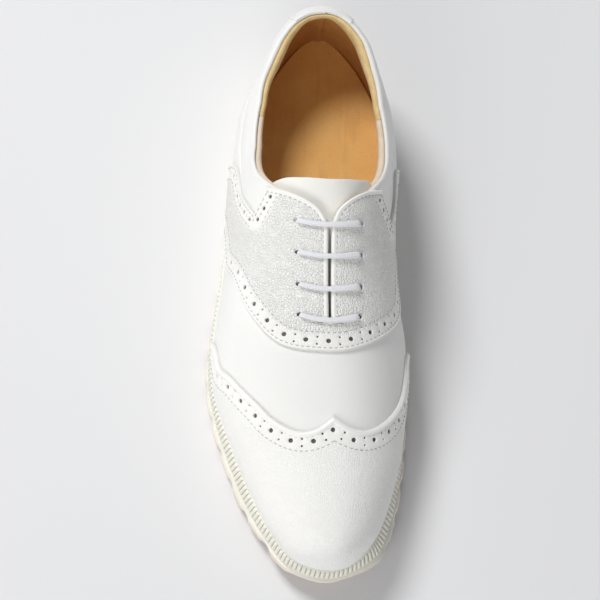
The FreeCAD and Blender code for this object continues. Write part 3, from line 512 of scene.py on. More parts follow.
def along_line(surface, line, offset, step, margin=0.5):
    """Evenly spaced centres, directions and normals along a line on the shoe."""
    dense = resample(line, 0.4)
    spots = surface(dense, offset)
    length = run_length(spots)
    count = max(2, int((length[-1] - 2 * margin) / step) + 1)
    at = np.linspace(margin, length[-1] - margin, count)
    flat = at_length(at, length, dense)
    ahead = unit(at_length(at + 0.3, length, spots) - at_length(at - 0.3, length, spots))
    return surface(flat, offset), ahead, unit(np.cross(*metric(flat, surface)))


# ---------------------------------------------------------------- materials
class Nodes:
    """Shorthand for building the nodes of a material or a world."""

    def __init__(self, owner, shader="Principled BSDF", place="Object"):
        self.owner = bpy.data.materials.new(owner) if isinstance(owner, str) else owner
        self.owner.use_nodes = True
        self.tree = self.owner.node_tree
        self.shader = self.tree.nodes[shader]
        self.place = self.add("TexCoord", place)

    def put(self, socket, value):
        """Give a socket a number, a colour or vector, or a link."""
        if isinstance(value, tuple):
            socket.default_value = (*value, 1.0)[:len(socket.default_value)]
        elif isinstance(value, (int, float)):
            socket.default_value = value
        else:
            self.tree.links.new(value, socket)

    def add(self, kind, output=0, inputs=None, **settings):
        node = self.tree.nodes.new("ShaderNode" + kind)
        for key, value in settings.items():
            setattr(node, key, value)
        for key, value in (inputs or {}).items():
            self.put(node.inputs[key], value)
        return node.outputs[output]

    def noise(self, scale, detail=3.0, rough=0.5, place=None):
        return self.add("TexNoise", "Fac", {"Vector": place or self.place, "Scale": scale, "Detail": detail,
                                            "Roughness": rough})

    def cells(self, scale, feature="F1", place=None, **more):
        return self.add("TexVoronoi", "Distance", {"Vector": place or self.place, "Scale": scale, **more},
                        feature=feature)

    def bands(self, scale, direction, place=None):
        return self.add("TexWave", "Fac", {"Vector": place or self.place, "Scale": scale}, wave_type="BANDS",
                        bands_direction=direction)

    def math(self, operation, a, b):
        return self.add("Math", 0, {0: a, 1: b}, operation=operation)

    def heap(self, height, more, amount):
        """A height with a share of another one added."""
        return self.math("ADD", height, self.math("MULTIPLY", more, amount))

    def span(self, value, low, high, to_low=0.0, to_high=1.0):
        return self.add("MapRange", "Result", {"Value": value, "From Min": low, "From Max": high,
                                               "To Min": to_low, "To Max": to_high})

    def clouds(self, scale, detail, to_low=0.0, to_high=1.0):
        """Slow changes over the surface."""
        return self.span(self.noise(scale, detail), 0.3, 0.7, to_low, to_high)

    def mix(self, factor, a, b, blend="MIX"):
        return self.add("Mix", 2, {0: factor, 6: a, 7: b}, data_type="RGBA", blend_type=blend)

    def attribute(self, name):
        return self.add("Attribute", "Fac", attribute_name=name)

    def warped(self, scale, amount):
        shift = self.add("TexNoise", "Color", {"Scale": scale, "Vector": self.place})
        return self.add("VectorMath", 0, {0: shift, 1: (amount,) * 3, 2: self.place},
                        operation="MULTIPLY_ADD")

    def bump(self, height, distance):
        normal = self.add("Bump", "Normal", {"Height": height, "Distance": distance})
        self.put(self.shader.inputs["Normal"], normal)

    def done(self, colour, roughness, **more):
        for key, value in {"Base Color": colour, "Roughness": roughness, **more}.items():
            self.put(self.shader.inputs[key.replace("_", " ")], value)
        return self.owner


WHITE = (1.0, 1.0, 1.0)


def leather(name, light, dark, grain_depth, grain_scale, roughness):
    """Finished leather: pebbled or fine grain, pores, slow tint changes and a handled edge."""
    n = Nodes(name)
    bent = n.warped(240, 0.0011)
    pebble = n.span(n.cells(grain_scale, "DISTANCE_TO_EDGE", bent), 0.0, 0.22)
    dome = n.cells(grain_scale, "SMOOTH_F1", bent, Smoothness=0.5)
    body = n.math("SUBTRACT", pebble, n.math("MULTIPLY", dome, 0.55))
    height = n.math("MULTIPLY", n.heap(body, n.noise(1500, 3.0), 0.45), n.attribute("grain"))
    n.bump(n.heap(n.heap(height, n.noise(5200, 2.0), 0.12), n.noise(95, 3.0), 0.8), grain_depth)
    tint = n.mix(n.clouds(22, 4.0), dark, light)
    # painted shade: the grain's valleys are tinted slightly darker
    painted_valley_shade = n.mix(0.55, WHITE, n.span(pebble, 0.0, 0.5, 0.965, 1.0))
    handled = n.span(n.attribute("edge"), 0.0, 0.5, 0.86, 1.0)
    tint = n.mix(1.0, n.mix(1.0, tint, painted_valley_shade, "MULTIPLY"), handled, "MULTIPLY")
    rough = n.clouds(160, 3.0, roughness - 0.06, roughness + 0.08)
    return n.done(tint, rough, Specular_IOR_Level=0.45, Sheen_Weight=0.08, Sheen_Roughness=0.5)


GRAINED = leather("grained_leather", (0.93, 0.925, 0.895), (0.905, 0.895, 0.86), 0.00011, 840, 0.42)
SADDLE = leather("saddle_leather", (0.93, 0.925, 0.895), (0.91, 0.90, 0.865), 0.0003, 760, 0.42)
SMOOTH = leather("smooth_leather", (0.90, 0.895, 0.87), (0.87, 0.865, 0.835), 0.00003, 1700, 0.4)
TONGUE = leather("tongue_leather", (0.93, 0.915, 0.86), (0.90, 0.88, 0.82), 0.00003, 1500, 0.5)
CREAM = leather("cream_lining", (0.86, 0.76, 0.63), (0.80, 0.69, 0.55), 0.00006, 1300, 0.62)


def tan_leather(name, light, dark):
    """Vegetable-tanned leather: fine hair pores, darker clouds, rubbed sheen."""
    n = Nodes(name)
    pores = n.span(n.cells(2400), 0.05, 0.42)
    tint = n.mix(n.span(n.noise(34, 5.0, 0.6), 0.32, 0.68), dark, light)
    tint = n.mix(n.math("MULTIPLY", n.math("SUBTRACT", 1.0, pores), 0.35), tint, (0.16, 0.065, 0.018))
    stretched = n.add("Mapping", "Vector", {"Scale": (1.0, 0.12, 1.0), "Vector": n.place})
    tint = n.mix(n.span(n.noise(210, 4.0, place=stretched), 0.55, 0.8, 0.0, 0.22), tint, (0.30, 0.13, 0.035))
    n.bump(n.heap(pores, n.noise(900, 4.0), 0.6), 0.00004)
    return n.done(tint, n.clouds(120, 3.0, 0.42, 0.6), Specular_IOR_Level=0.35)


TAN = tan_leather("tan_leather", (0.95, 0.57, 0.185), (0.86, 0.46, 0.13))
# a darker copy of the tan leather: painted shade for the lining inside the heel
SHADED_HEEL_TAN = tan_leather("heel_tan_leather", (0.58, 0.28, 0.085), (0.48, 0.215, 0.06))


def suede(name, light, dark):
    """Brushed suede: short nap with soft blotches."""
    n = Nodes(name)
    nap = n.noise(2600, 4.0, 0.7)
    tint = n.mix(n.span(n.noise(260, 4.0, 0.65), 0.35, 0.65), dark, light)
    tint = n.mix(n.span(nap, 0.3, 0.7, 0.0, 0.35), tint, dark)
    n.bump(n.heap(nap, n.noise(700, 3.0), 0.8), 0.00016)
    return n.done(tint, 0.9, Sheen_Weight=0.12, Sheen_Roughness=0.4, Specular_IOR_Level=0.15)


SUEDE = suede("collar_suede", (0.86, 0.67, 0.36), (0.74, 0.54, 0.25))
FRONT_LINING = suede("front_lining", (0.88, 0.76, 0.62), (0.80, 0.66, 0.50))


def moulded(name, light, dark, speck, painted_groove_shade=False):
    """Moulded foam rubber: matt skin with fine texture, slight yellowing in patches, painted shade in its
    grooves.
    """
    n = Nodes(name)
    tint = n.mix(n.clouds(48, 4.0), dark, light)
    tint = n.mix(n.span(n.noise(1900, 2.0), 0.6, 0.8, 0.0, speck), tint, dark)
    if painted_groove_shade:
        # painted shade: the rib strip's grooves are tinted dark where shade falls between the ribs
        tint = n.mix(n.span(n.attribute("groove"), 0.25, 0.9, 0.0, 0.75), tint, (0.40, 0.405, 0.35))
    n.bump(n.heap(n.noise(2400, 3.0), n.noise(420, 3.0), 0.5), 0.00005)
    return n.done(tint, n.clouds(90, 3.0, 0.5, 0.68), Specular_IOR_Level=0.35)


FOAM = moulded("sole_foam", (0.86, 0.84, 0.75), (0.82, 0.80, 0.70), 0.3)
# the rib strip's foam, with painted shade in the grooves between the ribs
RIBS = moulded("sole_ribs", (0.86, 0.845, 0.755), (0.82, 0.80, 0.70), 0.3, True)
RUBBER = moulded("outsole_rubber", (0.83, 0.74, 0.64), (0.78, 0.68, 0.58), 0.35)


def thread(name, light, dark):
    """Twisted sewing thread."""
    n = Nodes(name)
    twist = n.bands(900, "DIAGONAL")
    n.bump(twist, 0.00003)
    return n.done(n.mix(twist, dark, light), 0.7)


# the thread's grey is partly its own colour and partly painted shade on the sunken stitches
SHADED_THREAD = thread("thread", (0.62, 0.61, 0.57), (0.44, 0.435, 0.41))
# painted shade for the bottoms of the punched holes
SHADE = moulded("underlay", (0.17, 0.165, 0.155), (0.11, 0.105, 0.10), 0.3)


def woven(name):
    """Flat woven lace: braided herringbone of fine threads."""
    n = Nodes(name)
    bent = n.warped(900, 0.0002)
    weave = n.math("MULTIPLY", n.bands(420, "X", bent), n.bands(560, "Y", bent))
    n.bump(n.heap(weave, n.noise(3800, 3.0), 0.4), 0.00012)
    return n.done(n.mix(weave, (0.80, 0.81, 0.83), (0.93, 0.93, 0.94)), 0.72, Sheen_Weight=0.25,
                  Sheen_Roughness=0.4)


LACE = woven("lace_weave")
TIP = Nodes("tip_plastic").done((0.88, 0.88, 0.87), 0.2, Coat_Weight=0.5)
BRASS = Nodes("eyelet_brass").done((0.70, 0.55, 0.28), 0.35, Metallic=1.0)
STEEL = Nodes("shank_steel").done((0.55, 0.55, 0.57), 0.38, Metallic=1.0)


def fibre(name, light, dark):
    """Pressed fibre board or soft foam inside the shoe."""
    n = Nodes(name)
    tint = n.mix(n.noise(900, 5.0, 0.7), dark, light)
    n.bump(n.noise(1800, 4.0, 0.7), 0.0001)
    return n.done(tint, 0.9)


BOARD = fibre("fibre_board", (0.56, 0.43, 0.29), (0.38, 0.28, 0.18))
PADDING = fibre("padding", (0.74, 0.71, 0.62), (0.62, 0.58, 0.48))

for node, material in {
    "shank": STEEL, "insole_board": BOARD, "footbed": PADDING, "toe_puff": BOARD, "heel_counter": BOARD,
    "vamp_lining": CREAM, "lining_lateral": CREAM, "lining_medial": CREAM, "facing_stay_lateral": BOARD,
    "facing_stay_medial": BOARD, "blind_eyelets": BRASS, "lace_tips": TIP,
}.items():
    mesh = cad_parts[node].data
    mesh.materials.clear()
    mesh.materials.append(material)

# ---------------------------------------------------------------- sole
SOLE_PLAN = np.array([
    (12.0, -148.2), (-9.5, -142.6), (-23.0, -126.0), (-33.5, -108.0), (-42.0, -86.0), (-49.0, -62.0),
    (-51.8, -38.0), (-49.0, -12.0), (-43.5, 18.0), (-40.5, 52.0), (-36.8, 88.0), (-28.6, 118.0),
    (-14.5, 139.6), (4.0, 148.5), (22.5, 139.6), (35.4, 118.0), (41.6, 88.0), (42.5, 52.0),
    (43.0, 18.0), (48.0, -12.0), (51.6, -42.0), (51.4, -68.0), (48.6, -97.0), (44.2, -118.0),
    (36.0, -136.5),
])
TOP_PROFILE = np.array([(-150.0, 27.0), (-130.0, 23.2), (-105.0, 20.9), (-75.0, 19.4), (-42.0, 19.4),
                        (0.0, 21.4), (40.0, 24.7), (80.0, 27.5), (115.0, 28.4), (150.0, 28.5)])
LUG_PITCH, LUG_FLAT, LUG_FROM = 16.6, 8.6, -158.0
RIB_PITCH, RIB_STEPS = 2.6, 8


def ground_line(y):
    """Height of the tread: it rises under the toe and a little at the heel."""
    toe = np.maximum(0, (-72 - y) / 76) ** 2 * 9.4
    return toe + np.maximum(0, (y - 128) / 20) ** 2 * 2.4


def between_lugs(y):
    """0 on a lug, 1 in the middle of the recess to the next one."""
    phase = np.mod(y - LUG_FROM, LUG_PITCH)
    return np.sin(math.pi * np.clip((phase - LUG_FLAT) / (LUG_PITCH - LUG_FLAT), 0, 1))


# round the sole's rim: its line, the way out, the upper's distance and the levels of the edges
LUG_HEIGHT, OUTSOLE_DEPTH = 3.2, 4.4
rim = closed_curve(SOLE_PLAN)
girth = np.linalg.norm(np.diff(rim, axis=0), axis=1).sum()
rim = resample(rim, girth / (int(girth / RIB_PITCH) * RIB_STEPS))[:-1]
ahead = unit(np.roll(rim, -3, 0) - np.roll(rim, 3, 0))
outward = np.stack([-ahead[:, 1], ahead[:, 0]], 1)
w = np.linspace(0, math.pi, 700)
foot = np.vstack([last_point(w, side, np.zeros(700), np.full(700, 0.7)) for side in (-1.0, 1.0)])
reach = distances(tree_of(foot[:, :2]), rim)
reach = np.maximum(1.5, np.mean([np.roll(reach, k) for k in range(-24, 25)], axis=0))
top = np.interp(rim[:, 1], TOP_PROFILE[:, 0], TOP_PROFILE[:, 1])
low = ground_line(rim[:, 1])
lobes = between_lugs(rim[:, 1]) * np.abs(ahead[:, 1])
split = low + OUTSOLE_DEPTH + 1.6 * np.clip((-90 - rim[:, 1]) / 50, 0, 1)
foot_of_ribs = 0.26 * reach + 1.0
bar = np.abs(np.cos(math.pi * np.arange(len(rim)) / RIB_STEPS)) ** 0.6


def ring_points(inward, z):
    inward = np.broadcast_to(inward, len(rim))
    return np.column_stack([rim - outward * inward[:, None], np.broadcast_to(z, len(rim))])


def ring_piece(name, rows, material, replaces, sharp=40):
    """Closed band round the sole; rows go once round its section."""
    vertices = np.vstack([ring_points(*row) for row in rows])
    faces = [tuple(k % len(vertices) for k in quad) for quad in band_faces(len(rows) + 1, len(rim))]
    # the groove attribute (1 between the ribs) places the painted groove shade of the rib material
    return finish_mesh(name, vertices, faces, material, replaces, sharp,
                       {"groove": np.tile(1 - bar, len(rows))})


RIB_TOP, RIB_BOTTOM = 1.3, 9.4
rows = []
for share in (0.0, 0.04, 0.12, 0.3, 0.5, 0.7, 0.88, 0.96, 1.0):
    slant = (reach - 1.1) * (1 - share) + foot_of_ribs * share
    ends = min(1.0, math.sqrt(min(share, 1 - share) / 0.12))
    rows.append((slant - bar * ends, top - RIB_TOP - (RIB_BOTTOM - RIB_TOP) * share))
rows += [(foot_of_ribs + 2.2, top - RIB_BOTTOM), (reach + 1.6, top - RIB_TOP)]
ring_piece("rib_strip", rows, RIBS, ["sidewall_strip"], 50)
edge = 0.25 + 0.9 * lobes
ledge = np.minimum(foot_of_ribs, edge + 1.0)
wall_top = top - RIB_BOTTOM
ring_piece("midsole_band", [
    (reach + 9.0, top), (reach + 1.0, top), (reach - 0.5, top), (reach - 1.0, top - 0.15),
    (reach - 1.3, top - 0.6), (reach - 1.2, top - 1.15), (reach + 0.2, top - RIB_TOP),
    (foot_of_ribs + 1.2, wall_top + 0.1), (foot_of_ribs + 0.3, wall_top - 0.4),
    (foot_of_ribs - 0.3, wall_top - 0.7), ((ledge + edge) / 2, wall_top - 1.2),
    (edge + 0.1, (wall_top - 2.2 + split) / 2 + 0.6), (edge, (wall_top + split) / 2 - 0.6),
    (edge + 0.15, split + 0.3), (edge + 0.5, split), (reach + 9.0, split),
], FOAM, ["midsole"])

# outsole: pinkish rubber with the waved tread; its walls, then its underside and its hidden top
rows = [(edge + 1.1, low + LUG_HEIGHT * lobes), (edge + 0.35, low + LUG_HEIGHT * lobes + 0.5),
        (edge + 0.1, low + LUG_HEIGHT * lobes + 1.3), (edge, split - 0.7), (edge + 0.3, split - 0.1),
        (edge + 1.1, split)]
side_points = [ring_points(*row)[::4] for row in rows]
plan = side_points[0][:, :2].copy()
count = len(plan)
inner = np.stack(np.meshgrid(np.arange(-52, 52, 3.0), np.arange(-148, 150, 1.66)), -1).reshape(-1, 2)
inner = inner[inside(inner, plan)]
inner = inner[distances(tree_of(plan), inner) > 1.2]
side_points[0][:, 2] = ground_line(plan[:, 1]) + LUG_HEIGHT * between_lugs(plan[:, 1])
side_points[1][:, 2] = np.maximum(side_points[1][:, 2], side_points[0][:, 2] + 0.4)
side_points[2][:, 2] = np.maximum(side_points[2][:, 2], side_points[1][:, 2] + 0.5)
vertices = list(np.vstack(side_points))
faces = band_faces(len(rows), count)
made = geometry.delaunay_2d_cdt([Vector(p) for p in np.vstack([plan, inner]).tolist()],
                                [(k, (k + 1) % count) for k in range(count)], [], 1, 1e-6)
for floor_cap in (True, False):
    start = len(vertices)
    base = 0 if floor_cap else (len(rows) - 1) * count
    for x, y in [tuple(p) for p in made[0]][count:]:
        height = ground_line(y) + (LUG_HEIGHT * between_lugs(y) if floor_cap else OUTSOLE_DEPTH)
        vertices.append((x, y, height))
    for triangle in made[2]:
        ids = [base + k if k < count else start + k - count for k in triangle]
        faces.append(tuple(ids) if floor_cap else tuple(ids[::-1]))
finish_mesh("outsole_rubber", vertices, faces, RUBBER, ["outsole"], 35)

# ---------------------------------------------------------------- lines of the pattern, seen from above
PEAK = (9.2, -76.0)
wing_lateral = curve([from_feather(-1, -25.0), from_wall(-1, -33.0, 35.0),
                      *plan_points((-44.8, -45.5), (-39.8, -52.5), (-28.1, -66.6), (-18.8, -76.5),
                                   (-8.3, -82.5), (0.5, -82.0), PEAK)])
wing_medial = curve([*plan_points(PEAK, (18.6, -81.0), (27.1, -80.6), (37.7, -72.0), (44.6, -58.5)),
                     from_wall(1, -37.0, 36.0), from_feather(1, -28.0)])
saddle_front = curve([from_feather(-1, 34.0), from_wall(-1, 24.0, 38.0),
                      *plan_points((-42.0, 6.5), (-39.0, -5.0), (-31.5, -26.0), (-18.0, -41.5), (0.0, -46.0),
                                   (18.0, -44.5), (34.0, -34.5), (43.0, -18.0)),
                      from_wall(1, 12.0, 38.0), from_feather(1, 24.0)])
corner_lateral, corner_medial = plan_points((-25.0, 31.0), (30.0, 33.0))
notch_lateral, notch_medial = plan_points((-30.5, 21.5), (37.5, 24.0))
back_lateral, back_medial = (
    curve([notch, from_plan(*below), from_wall(side, 54.0, 60.0), from_wall(side, 61.0, 46.0),
           from_feather(side, 68.0)])
    for side, notch, below in ((-1, notch_lateral, (-36.0, 36.0)), (1, notch_medial, (40.0, 38.0))))
throat_lateral = curve(plan_points((-25.0, 31.0), (-12.0, 24.0), (-1.5, 17.5), (3.9, 10.0)))
throat_medial = curve(plan_points((5.4, 10.0), (9.0, 17.5), (18.0, 25.0), (30.0, 33.0)))
slit_lateral = np.array(plan_points((3.9, 10.0), (5.6, -32.0)))
slit_medial = np.array(plan_points((6.9, -32.0), (5.4, 10.0)))


def feather_line(side, y_from, y_to, count=40):
    turn = 0.0 if side > 0 else math.pi
    w = np.linspace(angle_at(y_from), angle_at(y_to), count)
    return front_flat(np.full(count, turn), w)


# length, width and height of a stitch, and the step to the next
STITCH, STITCH_PITCH = (1.75, 0.44, 0.38), 2.75


def perforations(line, pitch, large=1.2, small=0.55, pair=1.75, start=0.0):
    """Brogue holes along a line: large ones with small ones between, a pair across the line or just one."""
    dense = resample(line, 0.5)
    steps = left_of(dense)
    length = run_length(front(dense, 0.0))
    holes = []
    for k in range(int((length[-1] - start) / (pitch / 2)) + 1):
        at = start + k * pitch / 2
        if at > length[-1] - 1.2:
            break
        centre, across = at_length(at, length, dense), at_length(at, length, steps)
        if k % 2 == 0:
            holes.append((centre, large))
        elif pair:
            holes += [(centre + across * pair, small), (centre - across * pair, small)]
        else:
            holes.append((centre, small))
    return holes


def stitch_line(name, line, offset, surface=front):
    beads(name, *along_line(surface, line, offset, STITCH_PITCH), STITCH, SHADED_THREAD, None)


def nearest(away, *labels):
    """Distance from the nearest of some sides."""
    return np.min([away[label] for label in labels], axis=0)


def bell(distance, at, width):
    """1 at one distance from an edge, fading on both sides of it."""
    return np.exp(-((distance - at) / width) ** 2)


# thickness of the leather laid over the vamp, and the height of the stitches in it
OVERLAY, STITCH_LEVEL = 1.5, 1.48
# toe cap
cap_sides = {
    "sole_lateral": feather_line(-1, -25.0, -145.4),
    "sole_medial": feather_line(1, -145.4, -28.0),
    "wing_medial": wing_medial[::-1],
    "wing_lateral": wing_lateral[::-1],
}
peak_x = from_plan(*PEAK)[0]


def cap_parallel(label, distance):
    """The part of a line parallel to the wing that lies on its own side of the peak."""
    row = parallel(cap_sides["wing_" + label], distance)
    return row[row[:, 0] < peak_x] if label == "lateral" else row[row[:, 0] > peak_x]


peak_hole = from_plan(PEAK[0], PEAK[1] - 6.3)
cap_holes = perforations(np.vstack([[peak_hole], cap_parallel("lateral", 5.4)]), 11.2)
cap_holes += perforations(np.vstack([[peak_hole], cap_parallel("medial", 5.4)[::-1]]), 11.2)[1:]


def cap_top(away, base):
    fold = nearest(away, "wing_lateral", "wing_medial")
    groove = 0.22 * bell(fold, 3.1, 0.35) + 0.16 * bell(fold, 9.6, 0.4)
    return (OVERLAY + 0.62 * bell(fold, 1.9, 1.5) - groove - rim_drop(fold, 1.15)
            - rim_drop(away["hole"], 0.34) * 0.8)


def cap_grain(away):
    return np.clip((nearest(away, "wing_lateral", "wing_medial") - 7.5) / 2.0, 0.12, 1.0)


pattern_piece("toe_cap_leather", cap_sides, cap_holes, cap_top, 0.05, GRAINED,
              (0.15, 0.4, 0.8, 1.3, 1.9, 2.6, 3.1, 3.7), ["toe_cap"], grain=cap_grain)
for label in ("lateral", "medial"):
    for index, distance in enumerate((3.1, 9.6)):
        stitch_line(f"cap_stitches_{label}_{index}", cap_parallel(label, distance), STITCH_LEVEL)

# vamp, seen between the cap and the saddle
under_cap = curve([from_feather(-1, -38.0),
                   *plan_points((-42.0, -62.0), (-28.0, -80.0), (-8.0, -94.0), (11.0, -92.0), (28.0, -92.0),
                                (40.0, -78.0)), from_feather(1, -42.0)])
under_saddle = curve([from_feather(-1, 50.0),
                      *plan_points((-36.0, 14.0), (-20.0, -27.0), (6.3, -34.5), (28.0, -25.0), (39.0, 6.0)),
                      from_feather(1, 44.0)])
pattern_piece("vamp_leather", {
    "sole_medial": feather_line(1, -42.0, 44.0), "back": under_saddle[::-1],
    "sole_lateral": feather_line(-1, 50.0, -38.0), "cap": under_cap,
}, [], -0.02, -1.4, SMOOTH, (0.6,), ["vamp"])

# saddle with the lace facings
saddle_sides = {
    "front": saddle_front,
    "sole_medial": feather_line(1, 24.0, 68.0),
    "back_medial": back_medial[::-1],
    "corner_medial": np.array([notch_medial, corner_medial]),
    "throat_medial": throat_medial[::-1],
    "slit_medial": slit_medial[::-1],
    "slit_end": np.array([slit_medial[0], slit_lateral[-1]]),
    "slit_lateral": slit_lateral[::-1],
    "throat_lateral": throat_lateral[::-1],
    "corner_lateral": np.array([corner_lateral, notch_lateral]),
    "back_lateral": back_lateral,
    "sole_lateral": feather_line(-1, 68.0, 34.0),
}
EYELETS_LATERAL = [(-8.7, -29.4), (-9.6, -15.8), (-10.6, -1.4), (-11.6, 12.6)]
EYELETS_MEDIAL = [(20.7, -29.4), (20.7, -15.8), (20.5, -1.4), (20.0, 12.6)]
front_band = parallel(saddle_front, 5.2)
middle = int(np.argmin(np.abs(front_band[:, 0] - from_plan(5.6, -41.0)[0])))
brogue_holes = perforations(front_band[middle:], 11.0)
brogue_holes += perforations(front_band[:middle + 1][::-1], 11.0)[1:]
for corner, notch, back, way in ((corner_lateral, notch_lateral, back_lateral, 1),
                                 (corner_medial, notch_medial, back_medial, -1)):
    corner_line = np.array([corner, notch])
    short, long = (parallel(line[::way], 4.4)[::way] for line in (corner_line, back))
    tree = tree_of(front(resample(np.vstack([corner_line, back[1:]]), 0.3), 0.0))
    path = np.vstack([short, [(short[-1] + long[0]) / 2], long])
    path = path[distances(tree, front(path, 0.0)) > 4.2]
    brogue_holes += perforations(path, 7.2, 1.1, 0.5, 0.0, 2.6)
saddle_holes = brogue_holes + [(from_plan(*eyelet), 1.2) for eyelet in EYELETS_LATERAL + EYELETS_MEDIAL]


def throat_away(away):
    return nearest(away, "throat_lateral", "throat_medial", "slit_lateral", "slit_medial")


def trim_away(away):
    return nearest(away, "front", "back_lateral", "back_medial", "corner_lateral", "corner_medial")


def saddle_top(away, base):
    fold, trim = throat_away(away), trim_away(away)
    facing = 0.5 * bell(fold, 1.25, 0.9) - 0.25 * bell(fold, 2.6, 0.4)
    lip = 0.28 * bell(trim, 0.75, 0.5) - 0.18 * bell(trim, 1.7, 0.4) - 0.16 * bell(trim, 9.2, 0.4)
    return (OVERLAY + facing + lip - rim_drop(fold, 1.1) - rim_drop(trim, 0.7)
            - rim_drop(away["hole"], 0.34) * 0.8)


def saddle_grain(away):
    throat = np.clip((throat_away(away) - 2.4) / 0.5, 0.0, 1.0)
    return throat * np.clip((trim_away(away) - 7.0) / 2.0, 0.25, 1.0)


def saddle_bottom(away, base):
    return -1.6 * np.clip(1 - throat_away(away) / 4.0, 0, 1) + 0.05


pattern_piece("saddle_leather", saddle_sides, saddle_holes, saddle_top, saddle_bottom, SADDLE,
              (0.15, 0.4, 0.8, 1.3, 1.8, 2.6, 3.2), ["lace_saddle"], grain=saddle_grain)
for label, rows in {"front": (1.7, 9.2), "back_lateral": (1.6, 7.6), "back_medial": (1.6, 7.6),
                    "corner_lateral": (1.6, 7.6), "corner_medial": (1.6, 7.6), "throat_lateral": (2.6,),
                    "throat_medial": (2.6,), "slit_lateral": (2.6,), "slit_medial": (2.6,)}.items():
    for index, distance in enumerate(rows):
        row = parallel(saddle_sides[label], distance)
        stitch_line(f"saddle_stitches_{label}_{index}", row, STITCH_LEVEL)

# painted shade: dark discs at the bottom of the punched holes stand in for the shade inside them
vertices, faces = [], []
for centre, radius in cap_holes + brogue_holes:
    ring = circle(centre, radius + 0.15, 12)
    start = len(vertices)
    for offset in (0.08, 0.42):
        vertices += list(front(ring, np.full(12, offset)))
    faces += [tuple(range(start + 11, start - 1, -1)), tuple(range(start + 12, start + 24))]
    faces += band_faces(2, 12, start)
finish_mesh("brogue_painted_hole_shade", vertices, faces, SHADE, [], 30)

# bar tacks at the end of the lace slit
tacks = np.array([from_plan(x, y) for x in (1.4, 11.4) for y in (-31.4, -32.6, -33.8)])
ex, ey = metric(tacks)
tack_up = unit(np.cross(ex, ey))
tack_up *= np.sign(tack_up[:, 2:])
beads("slit_bar_tacks", front(tacks, np.full(len(tacks), OVERLAY + 0.05)), unit(ex), tack_up, (2.8, 0.5, 0.5),
      SHADED_THREAD, "")

# ---------------------------------------------------------------- quarters and collar
TOPLINE = curve([(-10.0, 98.0), (20.0, 97.0), (31.0, 92.5), (42.0, 84.0), (56.0, 77.5), (72.0, 74.5),
                 (90.0, 75.5), (108.0, 81.0), (124.0, 89.0), (138.0, 92.5), (160.0, 92.8)])



def topline(w):
    """Height of the opening's edge at each section."""
    z = np.full(np.shape(w), 80.0)
    for _ in range(6):
        y = wall(w, 1.0, z, 0.0)[..., 1]
        z = np.interp(y, TOPLINE[:, 0], TOPLINE[:, 1])
    return z


def section_sheet(ways, rows):
    """Grid of points: rows give offset, depth below the topline and share of the rest, to the feather."""
    w = np.interp(np.abs(ways), REAR_A, REAR_W)
    sign = np.where(ways < 0, -1.0, 1.0)
    top = topline(w)
    feather = station(w)[4]
    sheet = []
    for offset, depth, share in rows:
        z = (top - depth) + (feather - top + depth) * share
        sheet.append(wall(w, sign, np.maximum(z, feather), np.broadcast_to(offset, w.shape)))
    return np.array(sheet)


def sheets(name, ways, rows, backs, material, slot, replaces=(), flip=False, attributes=None):
    """Closed skin of two section sheets."""
    return shell(name, section_sheet(ways, rows), section_sheet(ways, backs), material, replaces, flip,
                 attributes)


def swell(depth):
    """Padding of the collar as seen from outside."""
    return 1.15 * math.sin(math.pi * min(1.0, depth / 16.0)) ** 2 if depth < 16.0 else 0.0


def along_y(ways):
    """Station y of a way round from the back seam."""
    return (TOE_Y + HEEL_Y) / 2 - HALF_SPAN * np.cos(np.interp(np.abs(ways), REAR_A, REAR_W))


# offset and depth of the rolled edge, from the inside over the top, and of the same rows on its hidden side
ROLL = [(-2.5, 3.3), (-2.65, 1.5), (-2.4, 0.55), (-1.85, 0.0), (-1.1, -0.2), (-0.45, 0.1), (0.0, 0.6),
        (0.25, 1.3)]
UNDER_ROLL = [(-2.45, 3.5), (-2.2, 2.4), (-1.9, 2.0)] + [(-1.2, 1.8)] * 5
# below this depth under the edge the quarters are plain
QUARTER_DEPTH = 19.0


def rearward(ways):
    """0 on the front of the opening, 1 round the padded heel."""
    return np.clip((along_y(ways) - 52) / 34, 0, 1)


def narrowed(offset, ways):
    """The rolled edge is thinner at the front of the opening."""
    return offset * (0.75 + 0.25 * rearward(ways)) if offset < 0 else offset


for label, side in (("lateral", -1), ("medial", 1)):
    ways = np.linspace(side * 0.3, side * round_way(0.0), 110)
    puff = np.clip((along_y(ways) - 40) / 14, 0, 1)
    rows, backs = ([(narrowed(offset, ways), depth, 0.0) for offset, depth in roll]
                   for roll in (ROLL, UNDER_ROLL))
    for depth in (2.2, 3.5, 5.0, 6.4, 6.8, 7.2, 9.0, 10.0, 10.4, 10.8, 13.0, 14.6, 15.4, 15.9, 16.4, 17.2,
                  QUARTER_DEPTH):
        groove = 0.5 * math.exp(-((depth - 15.9) / 0.5) ** 2) + 0.3 * (depth in (6.8, 10.4) and side > 0)
        lift = (swell(depth) - groove) * puff
        rows.append((lift, depth, 0.0))
        backs.append((lift - 1.4, depth, 0.0))
    for share in np.linspace(0.05, 1.0, 22):
        rows.append((0.0, QUARTER_DEPTH, share))
        backs.append((-1.4, QUARTER_DEPTH, share))
    size = (len(rows), len(ways))
    sheets(f"quarter_{label}_leather", ways, rows, backs, SMOOTH, "smooth_leather", [f"quarter_{label}"],
           side < 0, {"edge": np.full(size, 5.0), "grain": np.ones(size)})

